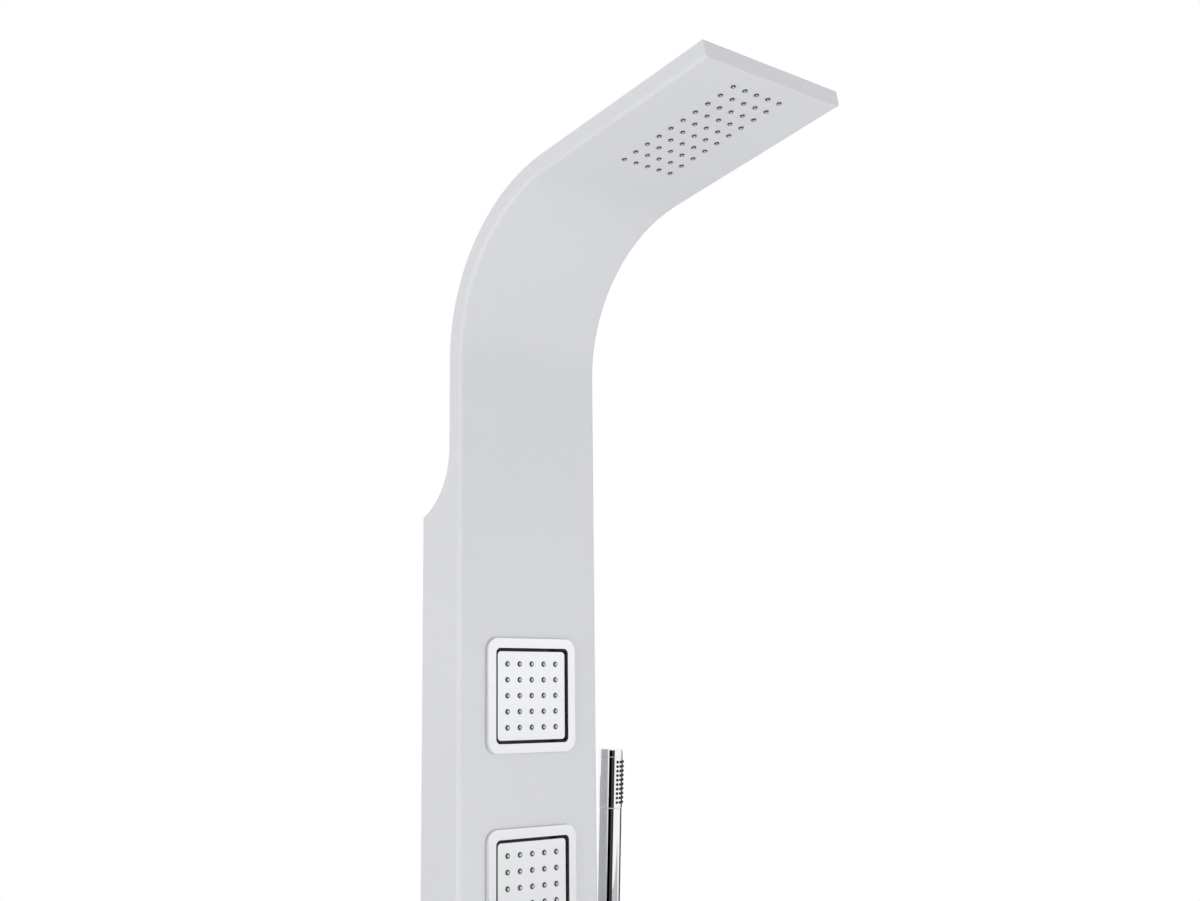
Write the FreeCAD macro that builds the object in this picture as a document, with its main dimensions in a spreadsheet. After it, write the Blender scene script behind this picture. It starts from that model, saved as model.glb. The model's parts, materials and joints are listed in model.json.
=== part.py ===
"""Shower panel column: a bent aluminium shell with an overhead arm, two square body jets that tilt,
a diverter, a lever mixer, and a stick handset in a swivelling holder on the right flank.

The frame is in millimetres: X to the right as seen from the front, Y into the wall, Z up. The wall is
the plane Y = 0, and the origin is the middle of the upper wall bracket's screw holes.

Each piece is drawn about its own axis and then placed. A piece on the face is drawn with x to the
right, y up and z out of the face; "face" pieces stand on the vertical face, and "arm" pieces on the
overhead arm's face, where y runs forward along the arm from the end of the bend.
"""
import FreeCAD, Part
import math
import os
import re

import Sketcher
from FreeCAD import Placement, Rotation, Vector

SIZES = {
    # shell of the column
    "panel_width": 173, "panel_depth": 57, "panel_wall": 2, "panel_edge_round": 4, "foot_drop": 886,
    "neck_depth": 16, "notch_height": 125, "notch_radius": 70, "bend_start": 212, "bend_radius": 157,
    "bend_turn": 78.2, "arm_reach": 210.4,
    # back cover of the neck and the arm
    "cover_sheet": 1.5, "cover_gap": 0.2, "cover_block": 8, "neck_block_low": 140,
    "neck_block_high": 200, "arm_block_near": 14, "arm_block_end": 10.4,
    # small screws
    "screw_shank": 1.5, "screw_head": 2.8, "screw_head_height": 1.4, "screw_clearance": 0.1,
    "cover_screw_reach": 8,
    # foot cap
    "cap_sheet": 3, "cap_rim": 2, "cap_rim_height": 12, "cap_gap": 0.2,
    # wall brackets and hanger rails
    "bracket_half": 70, "bracket_sheet": 3, "bracket_drop": 20, "shelf_top": 17, "lip_top": 30,
    "hook_slot": 6, "hook_gap": 0.5, "rail_depth": 14, "rail_drop": 14, "low_bracket_drop": 740,
    "bracket_hole_x": 100, "bracket_hole_z": 16, "bracket_hole": 2.75,
    # nozzle sheet and water box of the arm
    "arm_rows": 10, "arm_columns": 5, "arm_column_pitch": 14.8, "arm_first_row": 48.3,
    "arm_last_row": 22.6, "mat_sheet": 1.2, "nozzle_radius": 2.1, "nozzle_reach": 0.8,
    "nozzle_bore": 0.7, "nozzle_gap": 0.25, "chamber_half": 45, "chamber_flange_half": 54,
    "chamber_start": 35, "chamber_end_gap": 9.4, "chamber_depth": 9.3, "chamber_wall": 2,
    "stud_x": 49.5, "stud_first": 45, "stud_last": 19.4, "stud_steps": 2, "stud_length": 7,
    "nut_radius": 3, "nut_height": 2.4,
    # body jets
    "upper_jet_drop": 110, "jet_spacing": 178, "jet_nozzles": 5, "jet_pitch": 15, "bezel_half": 54.5,
    "bezel_corner": 12, "bezel_height": 3.5, "bezel_edge": 1, "gasket_sheet": 0.5, "gasket_inset": 1.5,
    "opening_half": 45, "opening_corner": 5, "collar_wall": 2, "collar_depth": 14, "collar_gap": 0.3,
    "jet_screw_place": 48.3, "jet_screw_bite": 2.5, "housing_half": 52, "housing_corner": 6,
    "housing_wall": 2.2, "housing_flange": 2, "housing_floor": 26, "plate_half": 42.3,
    "plate_corner": 4, "plate_front": 2.2, "plate_sheet": 1.5, "plate_bevel": 0.8, "plate_rim_back": 3,
    "plate_rim": 1.9, "back_shell_half": 40, "back_shell_back": 4, "back_shell_wall": 1.2,
    "jet_nozzle_radius": 2.6, "jet_nozzle_reach": 0.8, "jet_nozzle_bore": 0.7, "ball_depth": 13,
    "ball_radius": 7, "ball_gap": 0.1, "liner_wall": 2, "liner_half_height": 4, "stem_radius": 3.5,
    "stem_bore": 2, "stem_flange": 12, "stem_flange_height": 2, "seat_boss": 14, "retainer_wall": 2.4,
    "retainer_skirt": 7, "retainer_top": 3.5,
    # hoses inside the column
    "hose_radius": 5, "hose_bore": 3.5, "nipple_slack": 0.05, "nipple_length": 12, "nipple_bore": 2.4,
    "hose_room": 1.8, "riser_curve": 60, "riser_top": 30, "head_hose_x": 28, "manifold_half": 16,
    "manifold_radius": 8, "ferrule_wall": 1.2, "ferrule_length": 8, "ferrule_slack": 0.05,
    # valve block
    "diverter_drop": 480, "mixer_below": 140, "barrel_back": 44, "port_line": 30, "port_radius": 9,
    "port_bore": 5.5, "inlet_from_edge": 21.5, "union_wall_gap": 1, "diverter_barrel": 20,
    "mixer_barrel": 24, "outlet_top": 26, "outlet_block_left": 12, "outlet_block_right": 38,
    "outlet_block_half": 7, "cross_bore_height": 20, "feed_boss": 7, "feed_start": 24,
    # diverter
    "diverter_cavity": 13.6, "diverter_neck": 15.5, "diverter_neck_height": 4,
    "diverter_cavity_depth": 30, "cartridge_gap": 0.1, "fit_slack": 0.05, "nut_gap": 0.2,
    "panel_hole_gap": 0.5, "diverter_nut": 19, "diverter_nut_height": 6, "nut_lip": 1.8,
    "diverter_nut_hole": 10, "diverter_plate": 30, "diverter_plate_height": 4, "plate_gap": 0.2,
    "spindle_radius": 4, "spindle_gap": 0.1, "spindle_depth": 10, "spindle_end": 22, "knob_radius": 22,
    "knob_bottom": 6.3, "knob_top": 30, "knob_wall": 2, "knob_roof": 6, "knob_hub": 8, "knob_edge": 2,
    "knob_grip_width": 8, "knob_grip_height": 3,
    # mixer
    "mixer_cavity": 17.6, "mixer_neck": 19.5, "mixer_neck_height": 6, "mixer_cavity_depth": 34,
    "mixer_nut": 21.5, "mixer_nut_hole": 13.5, "mixer_nut_shoulder": 7, "mixer_nut_top": 9,
    "mixer_plate": 34, "mixer_plate_height": 3, "dome_radius": 24.2, "dome_wall": 1.3, "dome_top": 16,
    "dome_gap": 0.4, "turn_disc_radius": 13, "turn_disc_lift": 0.2, "turn_disc_height": 1.6,
    "mixer_stem_side": 8, "stem_gap": 0.2, "mixer_stem_low": 4, "mixer_stem_top": 23, "lever_lift": 20,
    "mixer_well": 8, "mixer_well_depth": 8, "lever_shell": 3, "lever_rim": 10.5, "lever_rim_tip": 7,
    "lever_hub": 8, "lever_hub_low": 14, "blade_width": 15, "blade_tip": 5.8, "blade_tip_low": 34.5,
    "blade_reach": 82, "blade_root": 16, "blade_top_root": 8, "blade_sink": 1, "index_radius": 5,
    "index_depth": 1.2, "index_gap": 0.1, "index_height": 1.8,
    # inlet unions
    "union_flat": 13, "union_length": 14, "union_thread": 10.3, "union_thread_depth": 10,
    # outlet for the handset's hose
    "outlet_pipe": 10, "outlet_inside": 8, "outlet_flange": 14, "outlet_flange_height": 3,
    "outlet_body": 9, "outlet_out": 15.5, "outlet_hex": 11, "outlet_hex_height": 8,
    "outlet_thread": 10.4, "outlet_thread_length": 14, "outlet_drop": 4, "outlet_bore": 4.5,
    # holder
    "handset_out": 35, "handset_y": 30, "holder_drop": 367, "handset_lean": 2.6, "rosette_radius": 17,
    "rosette_height": 3.5, "holder_neck": 9, "holder_neck_end": 13.5, "pivot_radius": 4,
    "pivot_length": 5, "pivot_gap": 0.1, "cradle_gap": 0.3, "cradle_hub": 11, "cradle_hub_length": 12,
    "cradle_ring": 15.5, "cradle_half": 14, "cradle_slot": 13, "holder_bolt": 2.5,
    "holder_bolt_head": 4.5, "holder_bolt_head_height": 3, "holder_bolt_reach": 12,
    # handset
    "handle_radius": 11.9, "handle_wall": 2, "cone_top": 16, "cone_bottom": 18, "cone_radius": 10.5,
    "seat_gap": 0.3, "handle_top": 145, "head_radius": 12.25, "head_wall": 2, "head_length": 50.5,
    "top_cap_height": 8.5, "top_cap_edge": 1.5, "top_cap_plug": 2, "handset_rows": 10,
    "handset_row_pitch": 4.45, "handset_first_row": 5.5, "handset_columns": 5, "handset_fan": 20,
    "spray_turn": 32, "nub_radius": 1.2, "nub_reach": 1.2, "nub_gap": 0.15, "insert_sheet": 1.3,
    "insert_turn": 110,
    "inlet_thread": 10.4, "inlet_thread_length": 13, "inlet_plug": 10, "inlet_bore": 4.5,
}

doc = FreeCAD.newDocument("shower_panel_column")
sheet = doc.addObject("Spreadsheet::Sheet", "Sizes")
for row, (alias, value) in enumerate(SIZES.items(), start=1):
    sheet.set(f"A{row}", alias)
    sheet.set(f"B{row}", str(value))
    sheet.setAlias(f"B{row}", alias)
doc.recompute()

WORD = re.compile(r"[a-z_]+")
NODES = []
FACE_TURN = "90"
ARM_TURN = "90 + bend_turn"
UP = "-90"
DOWN = "90"
ALONG_X = ("90", (0, 1, 0))
CENTRE = ("0", "0", "0")

# sums that several pieces share
CORNERS = [(x, y) for x in ("-", "") for y in ("-", "")]
HALF = "panel_width / 2"
INNER = "(panel_width / 2 - panel_wall)"
THROUGH = "4 * panel_wall"
NECK_MIDDLE = "((panel_wall + neck_depth - cover_sheet) / 2)"
CHAMBER_END = "(arm_reach - chamber_end_gap)"
ARM_ROW_PITCH = "((arm_reach - arm_last_row - arm_first_row) / (arm_rows - 1))"
STUD_PITCH = "((arm_reach - stud_last - stud_first) / stud_steps)"
COVER_BLOCKS = {"arm": ("arm_block_near", "(arm_reach - arm_block_end)"),
                "neck": ("neck_block_low", "neck_block_high")}
HOSE_LINE = "(housing_floor + housing_wall + hose_radius + hose_room)"
HOSE_Y = f"({HOSE_LINE} - panel_depth)"
RISER_START = "(outlet_top - diverter_drop)"
JET_DROPS = {"upper": "upper_jet_drop", "lower": "(upper_jet_drop + jet_spacing)"}
SEAT_RADIUS = "(ball_radius + 2 * ball_gap + liner_wall)"
MAT_BACK = "(plate_front - plate_sheet - mat_sheet)"
MIXER_DROP = "(diverter_drop + mixer_below)"
INLET_X = "(panel_width / 2 - inlet_from_edge)"
INLET_BACK = "(panel_depth - union_wall_gap - union_length)"
SHELL_IN = "(dome_radius + dome_gap)"
SHELL_OUT = "(dome_radius + dome_gap + lever_shell)"
INDEX_SEAT = f"({SHELL_OUT} - index_depth)"
PIVOT_SPOT = (HALF, "-handset_y", "-holder_drop")
HANDSET_SPOT = ("panel_width / 2 + handset_out", "-handset_y", "-holder_drop")


# ---------------------------------------------------------------- sizes and placements
def formula(text):
    """A sum written with the sheet's words, as the document's own expression."""
    return WORD.sub(lambda word: "Sizes." + word.group() if word.group() in SIZES else word.group(), text)


def bind(item, name, text):
    item.setExpression(name, formula(text))


ruler = doc.addObject("App::FeaturePython", "Ruler")
ruler.addProperty("App::PropertyFloat", "Value")


def number(text):
    """What a sum comes to now."""
    bind(ruler, "Value", text)
    ruler.recompute()
    return ruler.Value


def place(item, spot, turn="0", axis=(1, 0, 0)):
    """Puts a piece's own origin at a point, turned about an axis."""
    item.Placement = Placement(Vector(), Rotation(Vector(*axis), 1))
    for letter, text in zip("xyz", spot):
        bind(item, f".Placement.Base.{letter}", text)
    bind(item, ".Placement.Rotation.Angle", turn)
    return item


def on_face(item, x="0", z="0"):
    """Places a piece that is drawn on the vertical face."""
    return place(item, (x, "-panel_depth", z), FACE_TURN)


def on_arm(item):
    """Places a piece that is drawn on the arm's face, with y from the end of the bend."""
    y = "-panel_depth - bend_radius * (1 - cos(bend_turn))"
    return place(item, ("0", y, "bend_start + bend_radius * sin(bend_turn)"), ARM_TURN)


def node(label, item):
    """Names a piece that is a sub-part of its own."""
    item.Label = label
    NODES.append(item)
    return item


# ---------------------------------------------------------------- solids by sketch
def new_body(name):
    return doc.addObject("PartDesign::Body", name)


def new_sketch(body, plane, height="0"):
    """A sketch on one of the body's own planes, or at a height over it."""
    sketch = body.newObject("Sketcher::SketchObject", "Sketch")
    origin = [item for item in body.Origin.OriginFeatures if item.Role == plane + "_Plane"][0]
    sketch.AttachmentSupport = [(origin, "")]
    sketch.MapMode = "FlatFace"
    bind(sketch, ".AttachmentOffset.Base.z", height)
    return sketch


def fix_point(sketch, edge, end, x, y):
    """Holds one point of an edge at two bound distances from the sketch's origin."""
    for kind, text in (("DistanceX", x), ("DistanceY", y)):
        held = sketch.addConstraint(Sketcher.Constraint(kind, -1, 1, edge, end, number(text)))
        bind(sketch, f"Constraints[{held}]", text)


def arc_between(start, end, radius, side):
    """The short arc from start to end that turns to the given side."""
    chord = end - start
    across = Vector(-chord.y, chord.x, 0).normalize()
    rise = math.sqrt(max(radius ** 2 - (chord.Length / 2) ** 2, 0))
    centre = (start + end) / 2 + across * (rise if side == "left" else -rise)
    first, last = (start, end) if side == "left" else (end, start)
    angles = [math.atan2(point.y - centre.y, point.x - centre.x) for point in (first, last)]
    return Part.ArcOfCircle(Part.Circle(centre, Vector(0, 0, 1), radius), angles[0], angles[1])


def draw(sketch, points, closed=True):
    """An outline. A point is (x, y), or (x, y, side, radius) where the edge after it is an arc."""
    spots = [Vector(number(point[0]), number(point[1]), 0) for point in points]
    count = len(points) if closed else len(points) - 1
    ends = []
    for index in range(count):
        point, start, end = points[index], spots[index], spots[(index + 1) % len(points)]
        if len(point) == 2:
            edge = sketch.addGeometry(Part.LineSegment(start, end))
            ends.append((edge, 1, 2))
        else:
            side, radius = point[2:]
            edge = sketch.addGeometry(arc_between(start, end, number(radius), side))
            ends.append((edge, 1, 2) if side == "left" else (edge, 2, 1))
    for index in range(count if closed else count - 1):
        this, following = ends[index], ends[(index + 1) % len(ends)]
        sketch.addConstraint(Sketcher.Constraint("Coincident", this[0], this[2], following[0], following[1]))
    for index, (edge, start, end) in enumerate(ends):
        fix_point(sketch, edge, start, points[index][0], points[index][1])
    if not closed:
        fix_point(sketch, ends[-1][0], ends[-1][2], points[-1][0], points[-1][1])
    for point, (edge, start, end) in zip(points, ends):
        if len(point) > 2:
            held = sketch.addConstraint(Sketcher.Constraint("Radius", edge, number(point[3])))
            bind(sketch, f"Constraints[{held}]", point[3])
    return sketch


def draw_circle(sketch, x, y, radius):
    edge = sketch.addGeometry(Part.Circle(Vector(number(x), number(y), 0), Vector(0, 0, 1), number(radius)))
    fix_point(sketch, edge, 3, x, y)
    held = sketch.addConstraint(Sketcher.Constraint("Radius", edge, number(radius)))
    bind(sketch, f"Constraints[{held}]", radius)
    return sketch


def draw_box(sketch, low_x, high_x, low_y, high_y):
    return draw(sketch, [(low_x, low_y), (high_x, low_y), (high_x, high_y), (low_x, high_y)])


def draw_square(sketch, half, corner):
    """A square about the sketch's origin with rounded corners."""
    flat = f"({half} - ({corner}))"
    corners = []
    for x, y, lead in (("", "-", "y"), ("", "", "x"), ("-", "", "y"), ("-", "-", "x")):
        full, short = (f"{x}({half})", f"{y}({half})"), (f"{x}{flat}", f"{y}{flat}")
        corners.append((short[0], full[1]) if lead == "y" else (full[0], short[1]))
        corners.append((full[0], short[1]) if lead == "y" else (short[0], full[1]))
    return draw(sketch, [point + ("left", corner) if index % 2 == 0 else point
                         for index, point in enumerate(corners)])


def pad(body, sketch, height, centred=False, back=False):
    feature = body.newObject("PartDesign::Pad", "Pad")
    feature.Profile = sketch
    feature.Midplane = centred
    feature.Reversed = back
    bind(feature, "Length", height)
    doc.recompute()
    return feature


def pocket(body, sketch, depth, centred=False, forward=False):
    """Cuts backwards from the sketch, or forwards, and sees that something was cut."""
    before = body.Shape.Volume
    feature = body.newObject("PartDesign::Pocket", "Pocket")
    feature.Profile = sketch
    feature.Midplane = centred
    feature.Reversed = forward
    bind(feature, "Length", depth)
    doc.recompute()
    if not feature.Shape.Volume < before:
        raise ValueError(f"{body.Name}: a pocket cuts nothing")
    return feature


def turned(name, profile):
    """A solid of revolution: (radius, height) points turned about the body's Z axis."""
    body = new_body(name)
    sketch = draw(new_sketch(body, "XZ"), profile)
    feature = body.newObject("PartDesign::Revolution", "Turn")
    feature.Profile = sketch
    feature.ReferenceAxis = (sketch, ["V_Axis"])
    feature.Angle = 360
    doc.recompute()
    return body


def square_plate(name, half, corner, low, height):
    body = new_body(name)
    pad(body, draw_square(new_sketch(body, "XY", low), half, corner), height)
    return body


# ---------------------------------------------------------------- solids by primitive
def rod(name, radius, length, spot=CENTRE, turn="0", axis=(1, 0, 0)):
    item = doc.addObject("Part::Cylinder", name)
    bind(item, "Radius", radius)
    bind(item, "Height", length)
    return place(item, spot, turn, axis)


def block(name, low, size, turn="0"):
    item = doc.addObject("Part::Box", name)
    for name_of_side, text in zip(("Length", "Width", "Height"), size):
        bind(item, name_of_side, text)
    return place(item, low, turn)


def fuse(name, parts):
    item = doc.addObject("Part::MultiFuse", name)
    item.Shapes = parts
    doc.recompute()
    return item


def cut(name, base, tools):
    item = doc.addObject("Part::Cut", name)
    item.Base = base
    item.Tool = tools[0] if len(tools) == 1 else fuse(name + "_tools", tools)
    doc.recompute()
    return item


def grid(sketch, columns, rows, column_pitch, row_pitch, first_row, radius):
    """Circles in rows and columns, the columns centred on the sketch's vertical axis."""
    for column in range(columns):
        for row in range(rows):
            x = f"{column - (columns - 1) / 2} * {column_pitch}"
            draw_circle(sketch, x, f"{first_row} + {row} * {row_pitch}", radius)
    return sketch


def ball(name, radius, spot=CENTRE):
    item = doc.addObject("Part::Sphere", name)
    bind(item, "Radius", radius)
    return place(item, spot)


def arm_point(depth, along):
    """Where a point of the arm lies in the side view: depth behind the face, along from the bend's end."""
    y = f"-panel_depth - bend_radius + (bend_radius + {depth}) * cos(bend_turn) - ({along}) * sin(bend_turn)"
    z = f"bend_start + (bend_radius + {depth}) * sin(bend_turn) + ({along}) * cos(bend_turn)"
    return y, z


# ---------------------------------------------------------------- shell of the column
def shell_body():
    """The bent shell: an outline seen from the side, drawn across the width and hollowed from behind."""
    body = new_body("shell")
    wall_meet = "notch_height - sqrt(notch_radius ^ 2 - (panel_depth - neck_depth - notch_radius) ^ 2)"
    outline = [
        ("-panel_depth", "-foot_drop"),
        ("-panel_depth", "bend_start", "left", "bend_radius"),
        arm_point("0", "0"),
        arm_point("0", "arm_reach"),
        arm_point("neck_depth", "arm_reach"),
        arm_point("neck_depth", "0") + ("right", "bend_radius + neck_depth"),
        ("neck_depth - panel_depth", "bend_start"),
        ("neck_depth - panel_depth", "notch_height", "left", "notch_radius"),
        ("0", wall_meet),
        ("0", "-foot_drop"),
    ]
    solid = pad(body, draw(new_sketch(body, "YZ"), outline), "panel_width", centred=True)
    face_line = [Vector(0, number(point[0]), number(point[1])) for point in outline[:4]]
    half = number(HALF)

    def on_face_edge(edge):
        ends = [vertex.Point for vertex in edge.Vertexes]
        return len(ends) == 2 and all(
            abs(abs(point.x) - half) < 0.001
            and min((Vector(0, point.y, point.z) - corner).Length for corner in face_line) < 0.001
            for point in ends) and abs(ends[0].x - ends[1].x) < 0.001

    edges = [f"Edge{index}" for index, edge in enumerate(solid.Shape.Edges, start=1) if on_face_edge(edge)]
    dress(body, "Fillet", edges, "Radius", "panel_edge_round")
    inside = [
        ("panel_wall - panel_depth", "-foot_drop - panel_depth"),
        ("panel_wall - panel_depth", "bend_start", "left", "bend_radius + panel_wall"),
        arm_point("panel_wall", "0"),
        arm_point("panel_wall", "arm_reach - panel_wall"),
        arm_point("panel_depth", "arm_reach - panel_wall"),
        arm_point("panel_depth", "0"),
        ("panel_depth", arm_point("panel_depth", "0")[1]),
        ("panel_depth", "-foot_drop - panel_depth"),
    ]
    pocket(body, draw(new_sketch(body, "YZ"), inside), "panel_width - 2 * panel_wall", centred=True)
    return body


def stud_places():
    """The six places where the arm's water box is held."""
    steps = range(int(number("stud_steps")) + 1)
    return [(f"{side}stud_x", f"stud_first + {step} * {STUD_PITCH}") for side in ("-", "") for step in steps]


def arm_grid(sketch, radius):
    """The overhead shower's nozzle places."""
    columns, rows = int(number("arm_columns")), int(number("arm_rows"))
    return grid(sketch, columns, rows, "arm_column_pitch", ARM_ROW_PITCH, "arm_first_row", radius)


def front_panel():
    studs = [rod("stud", "screw_shank", "stud_length + panel_wall / 2", (x, y, "-stud_length - panel_wall"))
             for x, y in stud_places()]
    arm_holes = new_body("arm_holes")
    pad(arm_holes, arm_grid(new_sketch(arm_holes, "XY"), "nozzle_radius + nozzle_gap"), THROUGH, centred=True)
    tools = [on_arm(arm_holes)]
    for drop in JET_DROPS.values():
        hole = new_body("jet_hole")
        pad(hole, draw_square(new_sketch(hole, "XY"), "opening_half + collar_wall + collar_gap",
                              "opening_corner + collar_wall + collar_gap"), THROUGH, centred=True)
        screws = new_body("jet_screw_holes")
        sketch = new_sketch(screws, "XY")
        for x, y in CORNERS:
            draw_circle(sketch, x + "jet_screw_place", y + "jet_screw_place", "screw_shank + screw_clearance")
        pad(screws, sketch, THROUGH, centred=True)
        tools += [on_face(hole, z=f"-{drop}"), on_face(screws, z=f"-{drop}")]
    for radius, drop in (("diverter_neck + panel_hole_gap", "diverter_drop"),
                         ("mixer_neck + panel_hole_gap", MIXER_DROP)):
        spot = ("0", f"{THROUGH} / 2 - panel_depth", f"-{drop}")
        tools.append(rod("valve_hole", radius, THROUGH, spot, DOWN))
    side = [("outlet_pipe + screw_clearance", "port_line", "diverter_drop"),
            ("holder_bolt + screw_clearance", "panel_depth - handset_y", "holder_drop")]
    for radius, back, drop in side:
        spot = (f"{INNER} - panel_wall", f"{back} - panel_depth", f"-{drop}")
        tools.append(rod("side_hole", radius, THROUGH, spot, *ALONG_X))
    shell = fuse("studded_shell", [shell_body(), on_arm(fuse("studs", studs))])
    node("front_panel", cut("front_panel", shell, tools))


def neck_back_cover():
    """A bent sheet between the side walls, flush with their rear edges, with its screw holes."""
    body = new_body("cover_sheet_body")
    notch_y = "panel_depth - neck_depth - notch_radius"
    inner_radius = "(notch_radius + cover_sheet)"
    meet = "notch_height - sqrt({} ^ 2 - (" + notch_y + ") ^ 2)"
    end = "arm_reach - panel_wall - cover_gap"
    inner = "neck_depth - cover_sheet"
    outline = [
        ("0", meet.format("notch_radius"), "right", "notch_radius"),
        ("neck_depth - panel_depth", "notch_height"),
        ("neck_depth - panel_depth", "bend_start", "left", "bend_radius + neck_depth"),
        arm_point("neck_depth", "0"),
        arm_point("neck_depth", end),
        arm_point(f"({inner})", end),
        arm_point(f"({inner})", "0") + ("right", f"bend_radius + {inner}"),
        (f"{inner} - panel_depth", "bend_start"),
        (f"{inner} - panel_depth", "notch_height", "left", inner_radius),
        ("0", meet.format(inner_radius)),
    ]
    pad(body, draw(new_sketch(body, "YZ"), outline), f"2 * ({INNER} - cover_gap)", centred=True)
    tools = []
    for part, set_down in (("arm", on_arm), ("neck", on_face)):
        holes = [rod("cover_hole", "screw_shank + screw_clearance", "3 * cover_sheet",
                     (x, y, "-neck_depth - cover_sheet")) for x, y in cover_block_places(part)]
        tools.append(set_down(fuse(part + "_cover_holes", holes)))
    node("neck_back_cover", cut("neck_back_cover", body, tools))


def cover_block_places(part):
    """Where the blocks of the arm or the neck stand, in a corner of each side wall."""
    return [(f"{side}({INNER} - cover_block / 2)", along)
            for side in ("-", "") for along in COVER_BLOCKS[part]]


def cover_blocks_and_screws():
    height = "neck_depth - cover_sheet - panel_wall"
    groups = {"blocks": [], "screws": []}
    for part, set_down in (("arm", on_arm), ("neck", on_face)):
        blocks, holes, screws = [], [], []
        for x, y in cover_block_places(part):
            corner = (f"{x} - cover_block / 2", f"{y} - cover_block / 2", "cover_sheet - neck_depth")
            blocks.append(block("cover_block", corner, ("cover_block", "cover_block", height)))
            shank = (x, y, "-neck_depth")
            holes.append(rod("block_hole", "screw_shank", "cover_screw_reach", shank))
            screws.append(rod("shank", "screw_shank", "cover_screw_reach", shank))
            head = (x, y, "-neck_depth - screw_head_height")
            screws.append(rod("head", "screw_head", "screw_head_height", head))
        groups["blocks"].append(set_down(cut("blocks", fuse("plain_blocks", blocks), holes)))
        groups["screws"].append(set_down(fuse("screws", screws)))
    node("cover_blocks", fuse("cover_blocks", groups["blocks"]))
    node("cover_screws", fuse("cover_screws", groups["screws"]))


def bottom_cap():
    """A tray whose rim stands inside the shell's foot."""
    body = new_body("bottom_cap")
    side, front = f"({INNER} - cap_gap)", "(panel_wall + cap_gap - panel_depth)"
    pad(body, draw_box(new_sketch(body, "XY", "-foot_drop"), f"-{side}", side, front, "0"),
        "cap_sheet + cap_rim_height")
    hollow = new_sketch(body, "XY", "cap_sheet + cap_rim_height - foot_drop")
    draw_box(hollow, f"cap_rim - {side}", f"{side} - cap_rim", f"{front} + cap_rim", "-cap_rim")
    pocket(body, hollow, "cap_rim_height")
    node("bottom_cap", body)


def wall_bracket(label, drop):
    """A plate on the wall whose lip stands up in front of a slot; its four holes are round z = 0."""
    body = new_body(label)
    lip_back = "-hook_slot"
    lip_front = "(-hook_slot - bracket_sheet)"
    outline = [
        ("0", "-bracket_drop"), ("0", "shelf_top"), (lip_back, "shelf_top"), (lip_back, "lip_top"),
        (lip_front, "lip_top"), (lip_front, "shelf_top - bracket_sheet"),
        ("-bracket_sheet", "shelf_top - bracket_sheet"), ("-bracket_sheet", "-bracket_drop"),
    ]
    pad(body, draw(new_sketch(body, "YZ"), outline), "2 * bracket_half", centred=True)
    holes = new_sketch(body, "XZ")
    for x, z in CORNERS:
        draw_circle(holes, f"{x}bracket_hole_x / 2", f"{z}bracket_hole_z / 2", "bracket_hole")
    pocket(body, holes, "4 * bracket_sheet", centred=True)
    node(label, place(body, ("0", "0", f"-({drop})")))


def hanger_rail(label, drop):
    """A bar between the side walls that rests on the bracket's lip and hooks down behind it."""
    body = new_body(label)
    hook_front, hook_back = "(hook_gap - hook_slot)", "(hook_gap - hook_slot + bracket_sheet)"
    outline = [
        (hook_back, "shelf_top + hook_gap"), (hook_back, "lip_top + bracket_sheet"),
        ("-rail_depth", "lip_top + bracket_sheet"), ("-rail_depth", "rail_drop"),
        ("bracket_sheet - rail_depth", "rail_drop"), ("bracket_sheet - rail_depth", "lip_top"),
        (hook_front, "lip_top"), (hook_front, "shelf_top + hook_gap"),
    ]
    pad(body, draw(new_sketch(body, "YZ"), outline), f"2 * {INNER}", centred=True)
    node(label, place(body, ("0", "0", f"-({drop})")))


# ---------------------------------------------------------------- overhead shower
def head_nozzle_mat():
    body = new_body("head_nozzle_mat")
    low = "-panel_wall - mat_sheet"
    outline = draw_box(new_sketch(body, "XY", low), "-chamber_flange_half", "chamber_flange_half",
                       "chamber_start", CHAMBER_END)
    pad(body, outline, "mat_sheet")
    pad(body, arm_grid(new_sketch(body, "XY", "-panel_wall - mat_sheet / 2"), "nozzle_radius"),
        "panel_wall + mat_sheet / 2 + nozzle_reach")
    pocket(body, arm_grid(new_sketch(body, "XY", "nozzle_reach"), "nozzle_bore"),
           "nozzle_reach + panel_wall + mat_sheet")
    holes = new_sketch(body, "XY", "-panel_wall")
    for x, y in stud_places():
        draw_circle(holes, x, y, "screw_shank + screw_clearance")
    pocket(body, holes, "mat_sheet")
    node("head_nozzle_mat", on_arm(body))


def head_chamber():
    """The water box over the nozzle sheet: a tray, a flange with stud holes and a hose nipple."""
    body = new_body("chamber_tray")
    seat = "(-panel_wall - mat_sheet)"
    tray = draw_box(new_sketch(body, "XY", seat), "-chamber_half", "chamber_half", "chamber_start",
                    CHAMBER_END)
    pad(body, tray, "chamber_depth", back=True)
    flange = draw_box(new_sketch(body, "XY", seat), "-chamber_flange_half", "chamber_flange_half",
                      "chamber_start", CHAMBER_END)
    pad(body, flange, "chamber_wall", back=True)
    side = "(chamber_half - chamber_wall)"
    hollow = draw_box(new_sketch(body, "XY", seat), f"-{side}", side, "chamber_start + chamber_wall",
                      f"{CHAMBER_END} - chamber_wall")
    pocket(body, hollow, "chamber_depth - chamber_wall")
    holes = new_sketch(body, "XY", seat)
    for x, y in stud_places():
        draw_circle(holes, x, y, "screw_shank + screw_clearance")
    pocket(body, holes, "chamber_wall")
    start = ("head_hose_x", "chamber_start - nipple_length", f"-{NECK_MIDDLE}")
    nipple = rod("chamber_nipple", "hose_bore - nipple_slack", "nipple_length + chamber_wall / 2", start, UP)
    bore = rod("chamber_bore", "nipple_bore", "nipple_length + 2 * chamber_wall", start, UP)
    node("head_chamber", on_arm(cut("head_chamber", fuse("chamber_parts", [body, nipple]), [bore])))


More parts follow.
